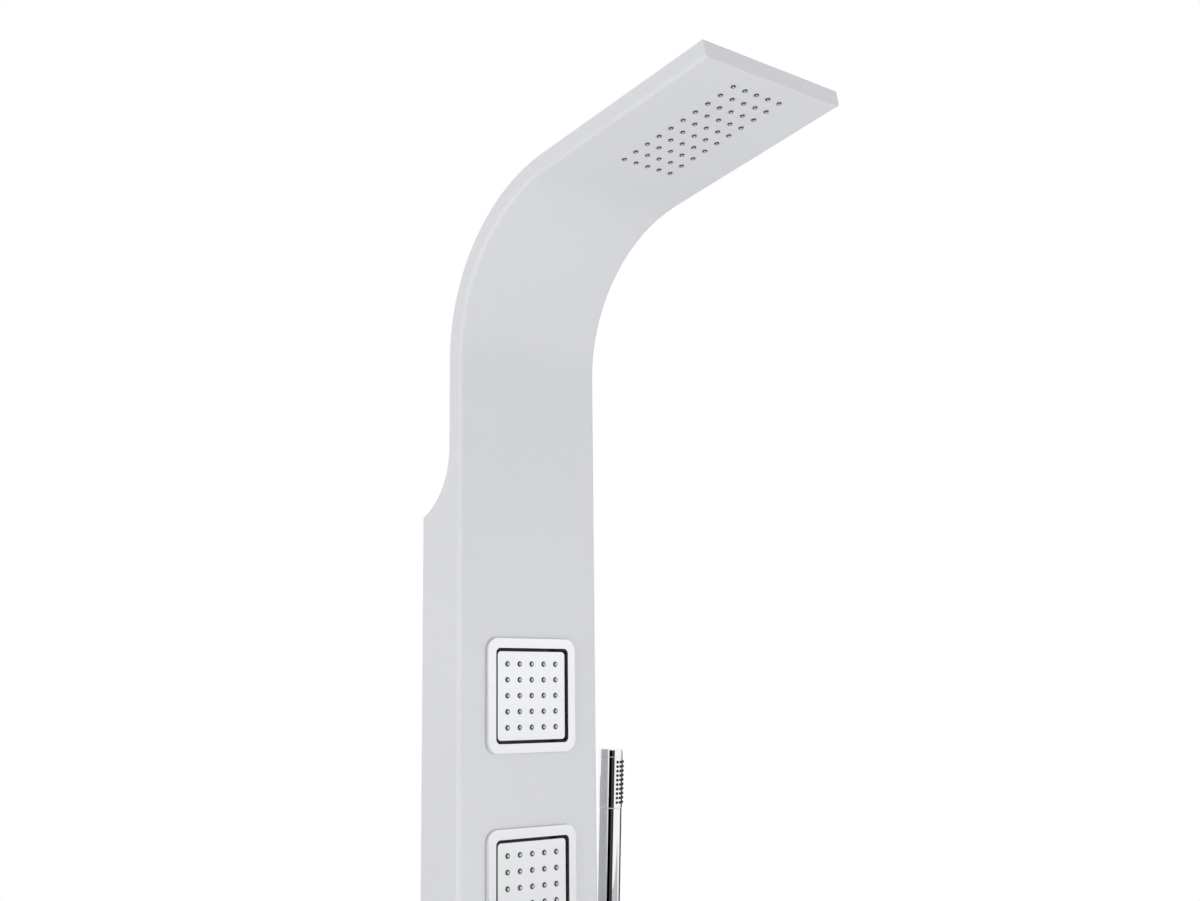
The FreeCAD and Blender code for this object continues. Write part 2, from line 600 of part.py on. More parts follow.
def head_nuts():
    top = "(-panel_wall - mat_sheet - chamber_wall)"
    nuts, bores = [], []
    for x, y in stud_places():
        spot = (x, y, f"{top} - nut_height")
        nuts.append(rod("nut", "nut_radius", "nut_height", spot))
        bores.append(rod("nut_bore", "screw_shank", "nut_height", spot))
    node("head_nuts", on_arm(cut("head_nuts", fuse("plain_nuts", nuts), bores)))


# ---------------------------------------------------------------- body jets
def jet_gasket():
    body = square_plate("gasket", "bezel_half - gasket_inset", "bezel_corner - gasket_inset", "0",
                        "gasket_sheet")
    hole = draw_square(new_sketch(body, "XY", "gasket_sheet"), "opening_half + collar_wall + collar_gap",
                       "opening_corner + collar_wall + collar_gap")
    pocket(body, hole, "gasket_sheet")
    screws = new_sketch(body, "XY", "gasket_sheet")
    for x, y in CORNERS:
        draw_circle(screws, x + "jet_screw_place", y + "jet_screw_place", "screw_shank + screw_clearance")
    pocket(body, screws, "gasket_sheet")
    return body


def jet_screw_set():
    head_back = "(-panel_wall - housing_flange - screw_head_height)"
    parts = []
    for x, y in CORNERS:
        spot = (x + "jet_screw_place", y + "jet_screw_place", head_back)
        parts.append(rod("jet_screw_head", "screw_head", "screw_head_height", spot))
        length = "panel_wall + housing_flange + screw_head_height + gasket_sheet + jet_screw_bite"
        parts.append(rod("jet_screw_shank", "screw_shank", length, spot))
    return fuse("jet_screw_set", parts)


def outer_edges(body, height, beyond):
    """The edges of a body at a height that lie outside a square of half width beyond."""
    level, half = number(height), number(beyond)
    found = []
    for index, edge in enumerate(body.Tip.Shape.Edges, start=1):
        points = [vertex.Point for vertex in edge.Vertexes]
        is_level = all(abs(point.z - level) < 0.001 for point in points)
        if is_level and all(max(abs(point.x), abs(point.y)) > half for point in points):
            found.append(f"Edge{index}")
    return found


def dress(body, kind, edges, name_of_size, size):
    """Rounds or bevels edges of the body's last feature."""
    solid = body.Tip
    feature = body.newObject("PartDesign::" + kind, kind)
    feature.Base = (solid, edges)
    bind(feature, name_of_size, size)
    doc.recompute()
    return feature


def jet_bezel(name):
    """A square frame whose collar reaches back through the panel."""
    body = square_plate(name + "_frame", "bezel_half", "bezel_corner", "gasket_sheet", "bezel_height")
    collar = draw_square(new_sketch(body, "XY", "gasket_sheet"), "opening_half + collar_wall",
                         "opening_corner + collar_wall")
    pad(body, collar, "gasket_sheet + collar_depth", back=True)
    front = new_sketch(body, "XY", "gasket_sheet + bezel_height")
    opening = draw_square(front, "opening_half", "opening_corner")
    pocket(body, opening, "gasket_sheet + bezel_height + collar_depth")
    screws = new_sketch(body, "XY", "gasket_sheet")
    for x, y in CORNERS:
        draw_circle(screws, x + "jet_screw_place", y + "jet_screw_place", "screw_shank")
    pocket(body, screws, "jet_screw_bite", forward=True)
    edges = outer_edges(body, "gasket_sheet + bezel_height", "opening_half + collar_wall")
    dress(body, "Fillet", edges, "Radius", "bezel_edge")
    return body


def jet_housing(name, upper):
    """The tub behind the panel: flange, walls, floor, ball seat and the ports for the hoses."""
    back = "(-housing_floor - housing_wall)"
    tub_half = "opening_half + collar_wall + collar_gap"
    tub_corner = "opening_corner + collar_wall + collar_gap"
    body = square_plate(name + "_tub", "housing_half", "housing_corner", "-panel_wall - housing_flange",
                        "housing_flange")
    outer = draw_square(new_sketch(body, "XY", back), f"{tub_half} + housing_wall",
                        f"{tub_corner} + housing_wall")
    pad(body, outer, "housing_floor + housing_wall - panel_wall")
    inner = draw_square(new_sketch(body, "XY", "-panel_wall"), tub_half, tub_corner)
    pocket(body, inner, "housing_floor - panel_wall")
    screws = new_sketch(body, "XY", "-panel_wall")
    for x, y in CORNERS:
        draw_circle(screws, x + "jet_screw_place", y + "jet_screw_place", "screw_shank + screw_clearance")
    pocket(body, screws, "housing_flange")
    heads = new_sketch(body, "XY", "-panel_wall - housing_flange")
    for x, y in CORNERS:
        draw_circle(heads, x + "jet_screw_place", y + "jet_screw_place", "screw_head + screw_clearance")
    pocket(body, heads, "housing_floor")
    height = "housing_floor - ball_depth + housing_wall / 2"
    boss = rod(name + "_boss", "seat_boss", height, ("0", "0", "-housing_floor - housing_wall / 2"))
    line = f"-{HOSE_LINE}"
    manifold = rod(name + "_manifold", "manifold_radius", "2 * manifold_half", ("0", "manifold_half", line),
                   DOWN)
    starts = ["-manifold_half - nipple_length"] + ([] if upper else ["manifold_half"])
    nipples = [rod(name + "_nipple", "hose_bore - nipple_slack", "nipple_length", ("0", start, line), UP)
               for start in starts]
    run = f"{len(starts)} * (manifold_half + nipple_length)"
    bores = [
        rod(name + "_run", "nipple_bore", run, ("0", starts[0], line), UP),
        rod(name + "_rise", "nipple_bore", f"{HOSE_LINE} - ball_depth", ("0", "0", line)),
        ball(name + "_seat", SEAT_RADIUS, ("0", "0", "-ball_depth")),
    ]
    return cut(name, fuse(name + "_parts", [body, boss, manifold] + nipples), bores)


def jet_retainer(name):
    """The ring screwed over the seat's boss; its upper rim closes over the liner."""
    rim = f"sqrt({SEAT_RADIUS} ^ 2 - retainer_top ^ 2)"
    outer = "(seat_boss + screw_clearance + retainer_wall)"
    return turned(name, [
        (SEAT_RADIUS, "0", "left", SEAT_RADIUS), (rim, "retainer_top"), (outer, "retainer_top"),
        (outer, "-retainer_skirt"), ("seat_boss + screw_clearance", "-retainer_skirt"),
        ("seat_boss + screw_clearance", "0"),
    ])


def jet_ball_liner(name):
    """A shell between two spheres, cut level above and below."""
    inner, outer = "(ball_radius + ball_gap)", "(ball_radius + ball_gap + liner_wall)"
    reach = "sqrt({} ^ 2 - {} ^ 2)"
    low, high = "liner_half_height", "(retainer_top - ball_gap * 3)"
    return turned(name, [
        (reach.format(outer, low), f"-{low}", "left", outer), (reach.format(outer, high), high),
        (reach.format(inner, high), high, "right", inner), (reach.format(inner, low), f"-{low}"),
    ])


def jet_ball_stem(name):
    """The hollow ball, its stem and the flange that carries the chamber; the ball's centre is z = 0."""
    flange_top = "(ball_depth - back_shell_back)"
    flange_low = f"({flange_top} - stem_flange_height)"
    return turned(name, [
        ("stem_bore", "-sqrt(ball_radius ^ 2 - stem_bore ^ 2)", "left", "ball_radius"),
        ("stem_radius", "sqrt(ball_radius ^ 2 - stem_radius ^ 2)"), ("stem_radius", flange_low),
        ("stem_flange", flange_low), ("stem_flange", flange_top), ("stem_bore", flange_top),
    ])


def jet_back_shell(name):
    body = square_plate(name, "back_shell_half", "plate_corner", "-back_shell_back",
                        f"{MAT_BACK} + back_shell_back")
    hollow = draw_square(new_sketch(body, "XY", MAT_BACK), "back_shell_half - back_shell_wall",
                         "plate_corner - back_shell_wall")
    pocket(body, hollow, f"{MAT_BACK} + back_shell_back - back_shell_wall")
    pocket(body, draw_circle(new_sketch(body, "XY"), "0", "0", "stem_bore"), "back_shell_back")
    return body


def jet_grid(sketch, radius):
    count = int(number("jet_nozzles"))
    return grid(sketch, count, count, "jet_pitch", "jet_pitch", "-(jet_nozzles - 1) / 2 * jet_pitch", radius)


def jet_nozzle_mat(name):
    body = square_plate(name, "back_shell_half", "plate_corner", MAT_BACK, "mat_sheet")
    middle = f"{MAT_BACK} + mat_sheet / 2"
    pad(body, jet_grid(new_sketch(body, "XY", middle), "jet_nozzle_radius"),
        "mat_sheet / 2 + plate_sheet + jet_nozzle_reach")
    pocket(body, jet_grid(new_sketch(body, "XY", "plate_front + jet_nozzle_reach"), "jet_nozzle_bore"),
           "jet_nozzle_reach + plate_sheet + mat_sheet")
    return body


def jet_spray_plate(name):
    """A shallow square lid: a plate with holes and a rim that laps the chamber."""
    body = square_plate(name, "plate_half", "plate_corner", "-plate_rim_back", "plate_rim_back + plate_front")
    dress(body, "Chamfer", outer_edges(body, "plate_front", "0"), "Size", "plate_bevel")
    hollow = draw_square(new_sketch(body, "XY", "-plate_rim_back"), "plate_half - plate_rim",
                         "plate_corner - plate_rim / 2")
    pocket(body, hollow, "plate_rim_back + plate_front - plate_sheet", forward=True)
    holes = jet_grid(new_sketch(body, "XY", "plate_front"), "jet_nozzle_radius + nozzle_gap")
    pocket(body, holes, "plate_sheet")
    return body


def jet(side, drop):
    z = f"-{drop}"
    ball_spot = ("0", "ball_depth - panel_depth", z)
    node(side + "_jet_bezel", on_face(jet_bezel(side + "_jet_bezel"), z=z))
    node(side + "_jet_housing", on_face(jet_housing(side + "_jet_housing", side == "upper"), z=z))
    for piece, make in (("retainer", jet_retainer), ("ball_liner", jet_ball_liner),
                        ("ball_stem", jet_ball_stem)):
        label = f"{side}_jet_{piece}"
        node(label, place(make(label), ball_spot, FACE_TURN))
    for piece, make in (("back_shell", jet_back_shell), ("nozzle_mat", jet_nozzle_mat),
                        ("spray_plate", jet_spray_plate)):
        label = f"{side}_jet_{piece}"
        node(label, on_face(make(label), z=z))


def jets():
    for side, drop in JET_DROPS.items():
        jet(side, drop)
    gaskets = [on_face(jet_gasket(), z=f"-{drop}") for drop in JET_DROPS.values()]
    screws = [on_face(jet_screw_set(), z=f"-{drop}") for drop in JET_DROPS.values()]
    node("jet_gaskets", fuse("jet_gaskets", gaskets))
    node("jet_screws", fuse("jet_screws", screws))


# ---------------------------------------------------------------- valves
def valve_body():
    """One casting, drawn about the diverter's axis on the face; the mixer's barrel is below it."""
    low, line = "-mixer_below", "-port_line"
    nipple = "hose_bore - nipple_slack"
    parts = [
        rod("diverter_barrel", "diverter_barrel", "barrel_back - panel_wall", ("0", "0", "-barrel_back")),
        rod("diverter_neck", "diverter_neck", "2 * panel_wall + diverter_neck_height",
            ("0", "0", "-2 * panel_wall")),
        rod("mixer_barrel", "mixer_barrel", "barrel_back - panel_wall", ("0", low, "-barrel_back")),
        rod("mixer_neck", "mixer_neck", "2 * panel_wall + mixer_neck_height", ("0", low, "-2 * panel_wall")),
        rod("link", "port_radius", "mixer_below", ("0", "0", line), DOWN),
        rod("inlet_arms", "port_radius", f"2 * {INLET_X}", (f"-{INLET_X}", low, line), *ALONG_X),
        rod("feed_boss", "feed_boss", "feed_start", ("0", "0", line), *ALONG_X),
        rod("feed_nipple", nipple, "feed_start + nipple_length", ("0", "0", line), *ALONG_X),
        block("outlet_block", ("-outlet_block_left", "feed_boss", f"-{HOSE_LINE} - outlet_block_half"),
              ("outlet_block_left + outlet_block_right", "outlet_top - feed_boss", "2 * outlet_block_half")),
    ]
    bores = [
        rod("diverter_cavity", "diverter_cavity", "diverter_cavity_depth + diverter_neck_height",
            ("0", "0", "-diverter_cavity_depth")),
        rod("mixer_cavity", "mixer_cavity", "mixer_cavity_depth + mixer_neck_height",
            ("0", low, "-mixer_cavity_depth")),
        rod("link_bore", "port_bore", "mixer_below", ("0", "0", line), DOWN),
        rod("arm_bore", "port_bore", f"2 * {INLET_X}", (f"-{INLET_X}", low, line), *ALONG_X),
        rod("feed_bore", "nipple_bore", "feed_start + nipple_length", ("0", "0", line), *ALONG_X),
        rod("cross_bore", "nipple_bore", "head_hose_x", ("0", "cross_bore_height", f"-{HOSE_LINE}"),
            *ALONG_X),
    ]
    for side in ("-", ""):
        spot = (f"{side}{INLET_X}", low, f"-{INLET_BACK}")
        parts.append(rod("inlet_elbow", "port_radius", f"{INLET_BACK} - port_line", spot))
        bores.append(rod("inlet_bore", "port_bore", f"{INLET_BACK} - port_line", spot))
        parts.append(ball("elbow_ball", "port_radius", (f"{side}{INLET_X}", low, line)))
    for x, start in (("0", "0"), ("head_hose_x", "cross_bore_height")):
        parts.append(rod("riser_nipple", nipple, "nipple_length", (x, "outlet_top", f"-{HOSE_LINE}"), UP))
        bores.append(rod("riser_bore", "nipple_bore", f"outlet_top + nipple_length - {start}",
                         (x, start, f"-{HOSE_LINE}"), UP))
    casting = cut("valve_body", fuse("valve_parts", parts), bores)
    node("valve_body", on_face(casting, z="-diverter_drop"))


def diverter():
    drop = "-diverter_drop"
    body = "(diverter_cavity - cartridge_gap)"
    lip = "(diverter_neck_height + nut_gap)"
    floor = "nut_lip - diverter_cavity_depth"
    pieces = {
        "diverter_cartridge": [
            ("spindle_radius + spindle_gap", floor), (body, floor),
            (body, lip), ("spindle_radius + spindle_gap", lip)],
        "diverter_gland_nut": [
            ("diverter_neck + screw_clearance", "0"), ("diverter_nut", "0"),
            ("diverter_nut", "diverter_nut_height"), ("diverter_nut_hole", "diverter_nut_height"),
            ("diverter_nut_hole", lip),
            ("diverter_neck + screw_clearance", lip)],
        "diverter_escutcheon": [
            ("diverter_nut + plate_gap", "0"), ("diverter_plate", "0"),
            ("diverter_plate", "diverter_plate_height - knob_edge"),
            ("diverter_plate - knob_edge", "diverter_plate_height"),
            ("diverter_nut + plate_gap", "diverter_plate_height")],
        "diverter_spindle": [
            ("0", "-spindle_depth"), ("spindle_radius", "-spindle_depth"), ("spindle_radius", "spindle_end"),
            ("0", "spindle_end")],
    }
    for label, profile in pieces.items():
        node(label, on_face(turned(label, profile), z=drop))
    knob = turned("knob_turned", [
        ("spindle_radius + fit_slack", "knob_bottom + knob_edge"), ("knob_hub", "knob_bottom + knob_edge"),
        ("knob_hub", "knob_top - knob_roof"), ("knob_radius - knob_wall", "knob_top - knob_roof"),
        ("knob_radius - knob_wall", "knob_bottom"), ("knob_radius", "knob_bottom"),
        ("knob_radius", "knob_top - knob_edge", "left", "knob_edge"), ("knob_radius - knob_edge", "knob_top"),
        ("0", "knob_top"), ("0", "spindle_end"), ("spindle_radius + fit_slack", "spindle_end"),
    ])
    grip = block("grip", ("-knob_grip_width / 2", "-knob_radius + knob_edge", "knob_top - knob_wall"),
                 ("knob_grip_width", "2 * (knob_radius - knob_edge)", "knob_wall + knob_grip_height"))
    node("diverter_knob", on_face(fuse("diverter_knob", [knob, grip]), z=drop))


def sphere_radius_at(radius, height):
    return f"sqrt({radius} ^ 2 - ({height}) ^ 2)"


def mixer():
    """The lever mixer: its dome and the lever's hollow ball share a centre on the face, the tilt's pivot."""
    drop = f"-{MIXER_DROP}"
    inner_dome = "(dome_radius - dome_wall)"
    body = "(mixer_cavity - cartridge_gap)"
    cartridge = [
        ("0", "nut_lip - mixer_cavity_depth"), (body, "nut_lip - mixer_cavity_depth"),
        (body, "mixer_nut_shoulder"), ("mixer_well", "mixer_nut_shoulder"),
        ("mixer_well", "-mixer_well_depth"), ("0", "-mixer_well_depth"),
    ]
    nut = [
        ("mixer_neck + screw_clearance", "0"), ("mixer_nut", "0"), ("mixer_nut", "mixer_nut_shoulder"),
        ("mixer_nut - nut_lip", "mixer_nut_top"), ("mixer_nut_hole", "mixer_nut_top"),
        ("mixer_nut_hole", "mixer_nut_shoulder"), ("mixer_neck + screw_clearance", "mixer_nut_shoulder"),
    ]
    dome = [
        ("mixer_nut + plate_gap", "0"), ("mixer_plate", "0"), ("mixer_plate", "mixer_plate_height"),
        (sphere_radius_at("dome_radius", "mixer_plate_height"), "mixer_plate_height", "left", "dome_radius"),
        (sphere_radius_at("dome_radius", "dome_top"), "dome_top"),
        (sphere_radius_at(inner_dome, "dome_top"), "dome_top", "right", inner_dome),
        (sphere_radius_at(inner_dome, "mixer_nut_shoulder"), "mixer_nut_shoulder"),
        ("mixer_nut + plate_gap", "mixer_nut_shoulder - plate_gap"),
    ]
    for label, profile in (("mixer_cartridge", cartridge), ("mixer_bonnet_nut", nut),
                           ("mixer_escutcheon", dome)):
        node(label, on_face(turned(label, profile), z=drop))

    disc_low = "(mixer_nut_shoulder + turn_disc_lift)"
    disc = rod("disc", "turn_disc_radius", "turn_disc_height", ("0", "0", disc_low))
    width = "(mixer_stem_side + 2 * stem_gap)"
    swing = f"({disc_low} + turn_disc_height) * tan(lever_lift) + mixer_stem_side * (1 / cos(lever_lift) - 1)"
    slot = block("disc_slot", (f"-{width} / 2", f"-{width} / 2", disc_low),
                 (width, f"{width} + {swing}", "turn_disc_height"))
    node("mixer_turn_disc", on_face(cut("mixer_turn_disc", disc, [slot]), z=drop))

    side = "mixer_stem_side"
    corner = (f"-{side} / 2", "mixer_stem_low - panel_depth", f"{drop} - {side} / 2")
    size = (side, side, "mixer_stem_top + mixer_stem_low")
    node("mixer_stem", block("mixer_stem", corner, size, FACE_TURN))
    node("mixer_lever", on_face(mixer_lever(), z=drop))
    index = turned("mixer_index_cap", [("0", INDEX_SEAT), ("index_radius", INDEX_SEAT),
                                       ("index_radius", f"{INDEX_SEAT} + index_depth"),
                                       ("0", f"{INDEX_SEAT} + index_height")])
    node("mixer_index_cap", on_face(index, z=drop))


def mixer_lever():
    """A hollow ball over the dome, a hub on the stem, and a flat blade that points down and outwards.

    The ball's rim is tipped up on the side that moves towards the plate when the lever is lifted.
    """
    shell = turned("lever_shell_turned", [
        (sphere_radius_at(SHELL_OUT, "lever_rim"), "lever_rim", "left", SHELL_OUT), ("0", SHELL_OUT),
        ("0", SHELL_IN, "right", SHELL_IN), (sphere_radius_at(SHELL_IN, "lever_rim"), "lever_rim"),
    ])
    place(shell, CENTRE, "lever_rim_tip")
    hub_height = f"{SHELL_IN} + lever_shell / 2 - lever_hub_low"
    hub = rod("lever_hub", "lever_hub", hub_height, ("0", "0", "lever_hub_low"))
    blade_body = new_body("blade")
    outline = [
        ("-blade_root", f"{sphere_radius_at(SHELL_OUT, 'blade_root')} - lever_shell / 2"),
        ("-blade_reach", "blade_tip_low"),
        ("-blade_reach", "blade_tip_low + blade_tip"),
        ("-blade_top_root", f"{SHELL_OUT} - blade_sink"),
    ]
    pad(blade_body, draw(new_sketch(blade_body, "YZ"), outline), "blade_width", centred=True)
    side = "mixer_stem_side"
    square = block("lever_square", (f"-{side} / 2", f"-{side} / 2", "0"), (side, side, "mixer_stem_top"))
    seat = rod("index_hole", "index_radius + index_gap", "2 * index_depth", ("0", "0", INDEX_SEAT))
    blade = cut("blade_clear", blade_body, [ball("lever_hollow", SHELL_IN)])
    return cut("mixer_lever", fuse("lever_parts", [shell, hub, blade]), [square, seat])


def inlet_union(label, side):
    """A hexagonal union nut that faces the wall."""
    body = new_body(label)
    sketch = new_sketch(body, "XY")
    corner = "(union_flat / cos(30))"
    outline = [(f"{corner} * cos({turn})", f"{corner} * sin({turn})") for turn in range(30, 390, 60)]
    pad(body, draw(sketch, outline), "union_length")
    for radius, depth in (("union_thread", "union_thread_depth"), ("port_bore", "union_length")):
        pocket(body, draw_circle(new_sketch(body, "XY"), "0", "0", radius), depth, forward=True)
    node(label, place(body, (f"{side}{INLET_X}", "-union_wall_gap", f"-{MIXER_DROP}"), FACE_TURN))


# ---------------------------------------------------------------- hoses
def straight_hose(label, length, spot, turn="0", axis=(1, 0, 0)):
    outer = rod(label + "_outer", "hose_radius", length)
    inner = rod(label + "_inner", "hose_bore", length)
    return place(cut(label, outer, [inner]), spot, turn, axis)


def riser_shift():
    """The riser's two equal arcs move it from the body's hose line to the middle of the neck."""
    shift = f"({HOSE_LINE} - {NECK_MIDDLE})"
    turn = f"acos(1 - {shift} / (2 * riser_curve))"
    return shift, turn, f"riser_curve * sin({turn})"


def head_hose():
    """The riser: up inside the column, forward into the neck, round the bend and into the arm."""
    shift, turn, rise = riser_shift()
    body = new_body("head_hose")
    middle_y = f"{NECK_MIDDLE} - panel_depth"
    route = new_sketch(body, "YZ", "head_hose_x")
    draw(route, [
        (HOSE_Y, RISER_START),
        (HOSE_Y, f"riser_top - 2 * {rise}", "left", "riser_curve"),
        (f"{HOSE_Y} - {shift} / 2", f"riser_top - {rise}", "right", "riser_curve"),
        (middle_y, "riser_top"),
        (middle_y, "bend_start", "left", f"bend_radius + {NECK_MIDDLE}"),
        arm_point(NECK_MIDDLE, "0"),
        arm_point(NECK_MIDDLE, "chamber_start"),
    ], closed=False)
    ring = new_sketch(body, "XY", RISER_START)
    draw_circle(ring, "head_hose_x", HOSE_Y, "hose_radius")
    draw_circle(ring, "head_hose_x", HOSE_Y, "hose_bore")
    pipe = body.newObject("PartDesign::AdditivePipe", "Route")
    pipe.Profile = ring
    pipe.Spine = (route, [f"Edge{index}" for index in range(1, len(route.Shape.Edges) + 1)])
    doc.recompute()
    node("head_hose", body)


def inner_hoses():
    jet_line = ("0", HOSE_Y)
    lower = JET_DROPS["lower"]
    supply = f"-{lower} - manifold_half - {RISER_START}"
    node("jet_supply_hose", straight_hose("jet_supply_hose", supply, jet_line + (RISER_START,)))
    node("jet_link_hose", straight_hose("jet_link_hose", "jet_spacing - 2 * manifold_half",
                                        jet_line + (f"manifold_half - {lower}",)))
    feed = f"{HALF} - outlet_inside - feed_start"
    spot = ("feed_start", "port_line - panel_depth", "-diverter_drop")
    node("handset_feed_hose", straight_hose("handset_feed_hose", feed, spot, *ALONG_X))


def ferrule(spot, turn="0", axis=(1, 0, 0)):
    """A crimped ring round a hose's end."""
    inner = "(hose_radius + ferrule_slack)"
    ring = rod("ring", f"{inner} + ferrule_wall", "ferrule_length", spot, turn, axis)
    return cut("ferrule", ring, [rod("ring_bore", inner, "ferrule_length", spot, turn, axis)])


def hose_ferrules():
    """One ring at each hose's end, a slack away from the fitting."""
    back = "- ferrule_length - ferrule_slack"
    lower = JET_DROPS["lower"]
    upright = [
        ("0", f"{RISER_START} + ferrule_slack"),
        ("head_hose_x", f"{RISER_START} + ferrule_slack"),
        ("0", f"-{lower} - manifold_half {back}"),
        ("0", f"-{lower} + manifold_half + ferrule_slack"),
        ("0", f"-upper_jet_drop - manifold_half {back}"),
    ]
    rings = [ferrule((x, HOSE_Y, z)) for x, z in upright]
    for x in ("feed_start + ferrule_slack", f"{HALF} - outlet_inside {back}"):
        rings.append(ferrule((x, "port_line - panel_depth", "-diverter_drop"), *ALONG_X))
    rings.append(on_arm(ferrule(("head_hose_x", f"chamber_start {back}", f"-{NECK_MIDDLE}"), UP)))
    node("hose_ferrules", fuse("hose_ferrules", rings))


# ---------------------------------------------------------------- outlet for the handset's hose
def outlet_elbow():
    """Through the right flank and down; drawn with x out of the flank, its pipe's axis at y = z = 0."""
    tail_end, nipple_end = "-outlet_inside", "-outlet_inside - nipple_length"
    levels = ["-outlet_body - outlet_drop"]
    for height in ("outlet_hex_height", "outlet_thread_length"):
        levels.append(f"{levels[-1]} - {height}")
    parts = [
        rod("outlet_tail", "outlet_pipe", "outlet_inside + outlet_flange_height", (tail_end, "0", "0"),
            *ALONG_X),
        rod("outlet_nipple", "hose_bore - nipple_slack", "nipple_length", (nipple_end, "0", "0"), *ALONG_X),
        rod("outlet_flange", "outlet_flange", "outlet_flange_height", CENTRE, *ALONG_X),
        rod("outlet_run", "outlet_body", "outlet_out", CENTRE, *ALONG_X),
        rod("outlet_down", "outlet_body", f"-({levels[0]})", ("outlet_out", "0", levels[0])),
        rod("outlet_hex", "outlet_hex", "outlet_hex_height", ("outlet_out", "0", levels[1])),
        rod("outlet_thread", "outlet_thread", "outlet_thread_length", ("outlet_out", "0", levels[2])),
        ball("outlet_ball", "outlet_body", ("outlet_out", "0", "0")),
    ]
    bores = [
        rod("outlet_down_bore", "outlet_bore", f"-({levels[2]})", ("outlet_out", "0", levels[2])),
        rod("outlet_run_bore", "nipple_bore", "outlet_inside + nipple_length + outlet_out",
            (nipple_end, "0", "0"), *ALONG_X),
    ]
    elbow = cut("outlet_elbow", fuse("outlet_parts", parts), bores)
    node("outlet_elbow", place(elbow, (HALF, "port_line - panel_depth", "-diverter_drop")))


# ---------------------------------------------------------------- holder and handset
def holder():
    """Drawn with x out of the flank along the pivot's axis."""
    base = turned("holder_base_turned", [
        ("holder_bolt + fit_slack", "0"), ("rosette_radius", "0"), ("rosette_radius", "rosette_height / 2"),
        ("rosette_radius - rosette_height / 2", "rosette_height"), ("holder_neck", "rosette_height"),
        ("holder_neck", "holder_neck_end"), ("pivot_radius", "holder_neck_end"),
        ("pivot_radius", "holder_neck_end + pivot_length"), ("0", "holder_neck_end + pivot_length"),
        ("0", "holder_bolt_reach"), ("holder_bolt + fit_slack", "holder_bolt_reach"),
    ])
    node("holder_base", place(base, PIVOT_SPOT, *ALONG_X))
    head = "-panel_wall - holder_bolt_head_height"
    bolt = turned("holder_screw", [
        ("0", head), ("holder_bolt_head", head), ("holder_bolt_head", "-panel_wall"),
        ("holder_bolt", "-panel_wall"), ("holder_bolt", "holder_bolt_reach"), ("0", "holder_bolt_reach"),
    ])
    node("holder_screw", place(bolt, PIVOT_SPOT, *ALONG_X))


def cone_radius(height):
    """The handle's cone at a height over the middle of the cradle."""
    slope = "(handle_radius - cone_radius) / (cone_top + cone_bottom)"
    return f"(handle_radius - {slope} * (cone_top - ({height})))"


def holder_cradle():
    """A slotted ring with a conical seat on a hub; drawn about the handset's axis."""
    low, high = "-cradle_half", "cradle_half"
    ring = turned("cradle_ring_turned", [
        (f"{cone_radius(low)} + seat_gap", low), ("cradle_ring", low), ("cradle_ring", high),
        (f"{cone_radius(high)} + seat_gap", high),
    ])
    start = ("holder_neck_end + cradle_gap - handset_out", "0", "0")
    hub = rod("cradle_hub", "cradle_hub", "cradle_hub_length", start, *ALONG_X)
    bore = rod("cradle_bore", "pivot_radius + pivot_gap", "pivot_length", start, *ALONG_X)
    slot = block("cradle_slot", ("-cradle_slot / 2", "-2 * cradle_ring", "-2 * cradle_half"),
                 ("cradle_slot", "2 * cradle_ring", "4 * cradle_half"))
    clear = rod("cradle_clear", f"{cone_radius(high)} + seat_gap", "4 * cradle_half",
                ("0", "0", "-2 * cradle_half"))
    cradle = fuse("cradle_parts", [cut("slotted_ring", ring, [slot]), cut("open_hub", hub, [clear, bore])])
    node("holder_cradle", place(cradle, HANDSET_SPOT, "handset_lean"))


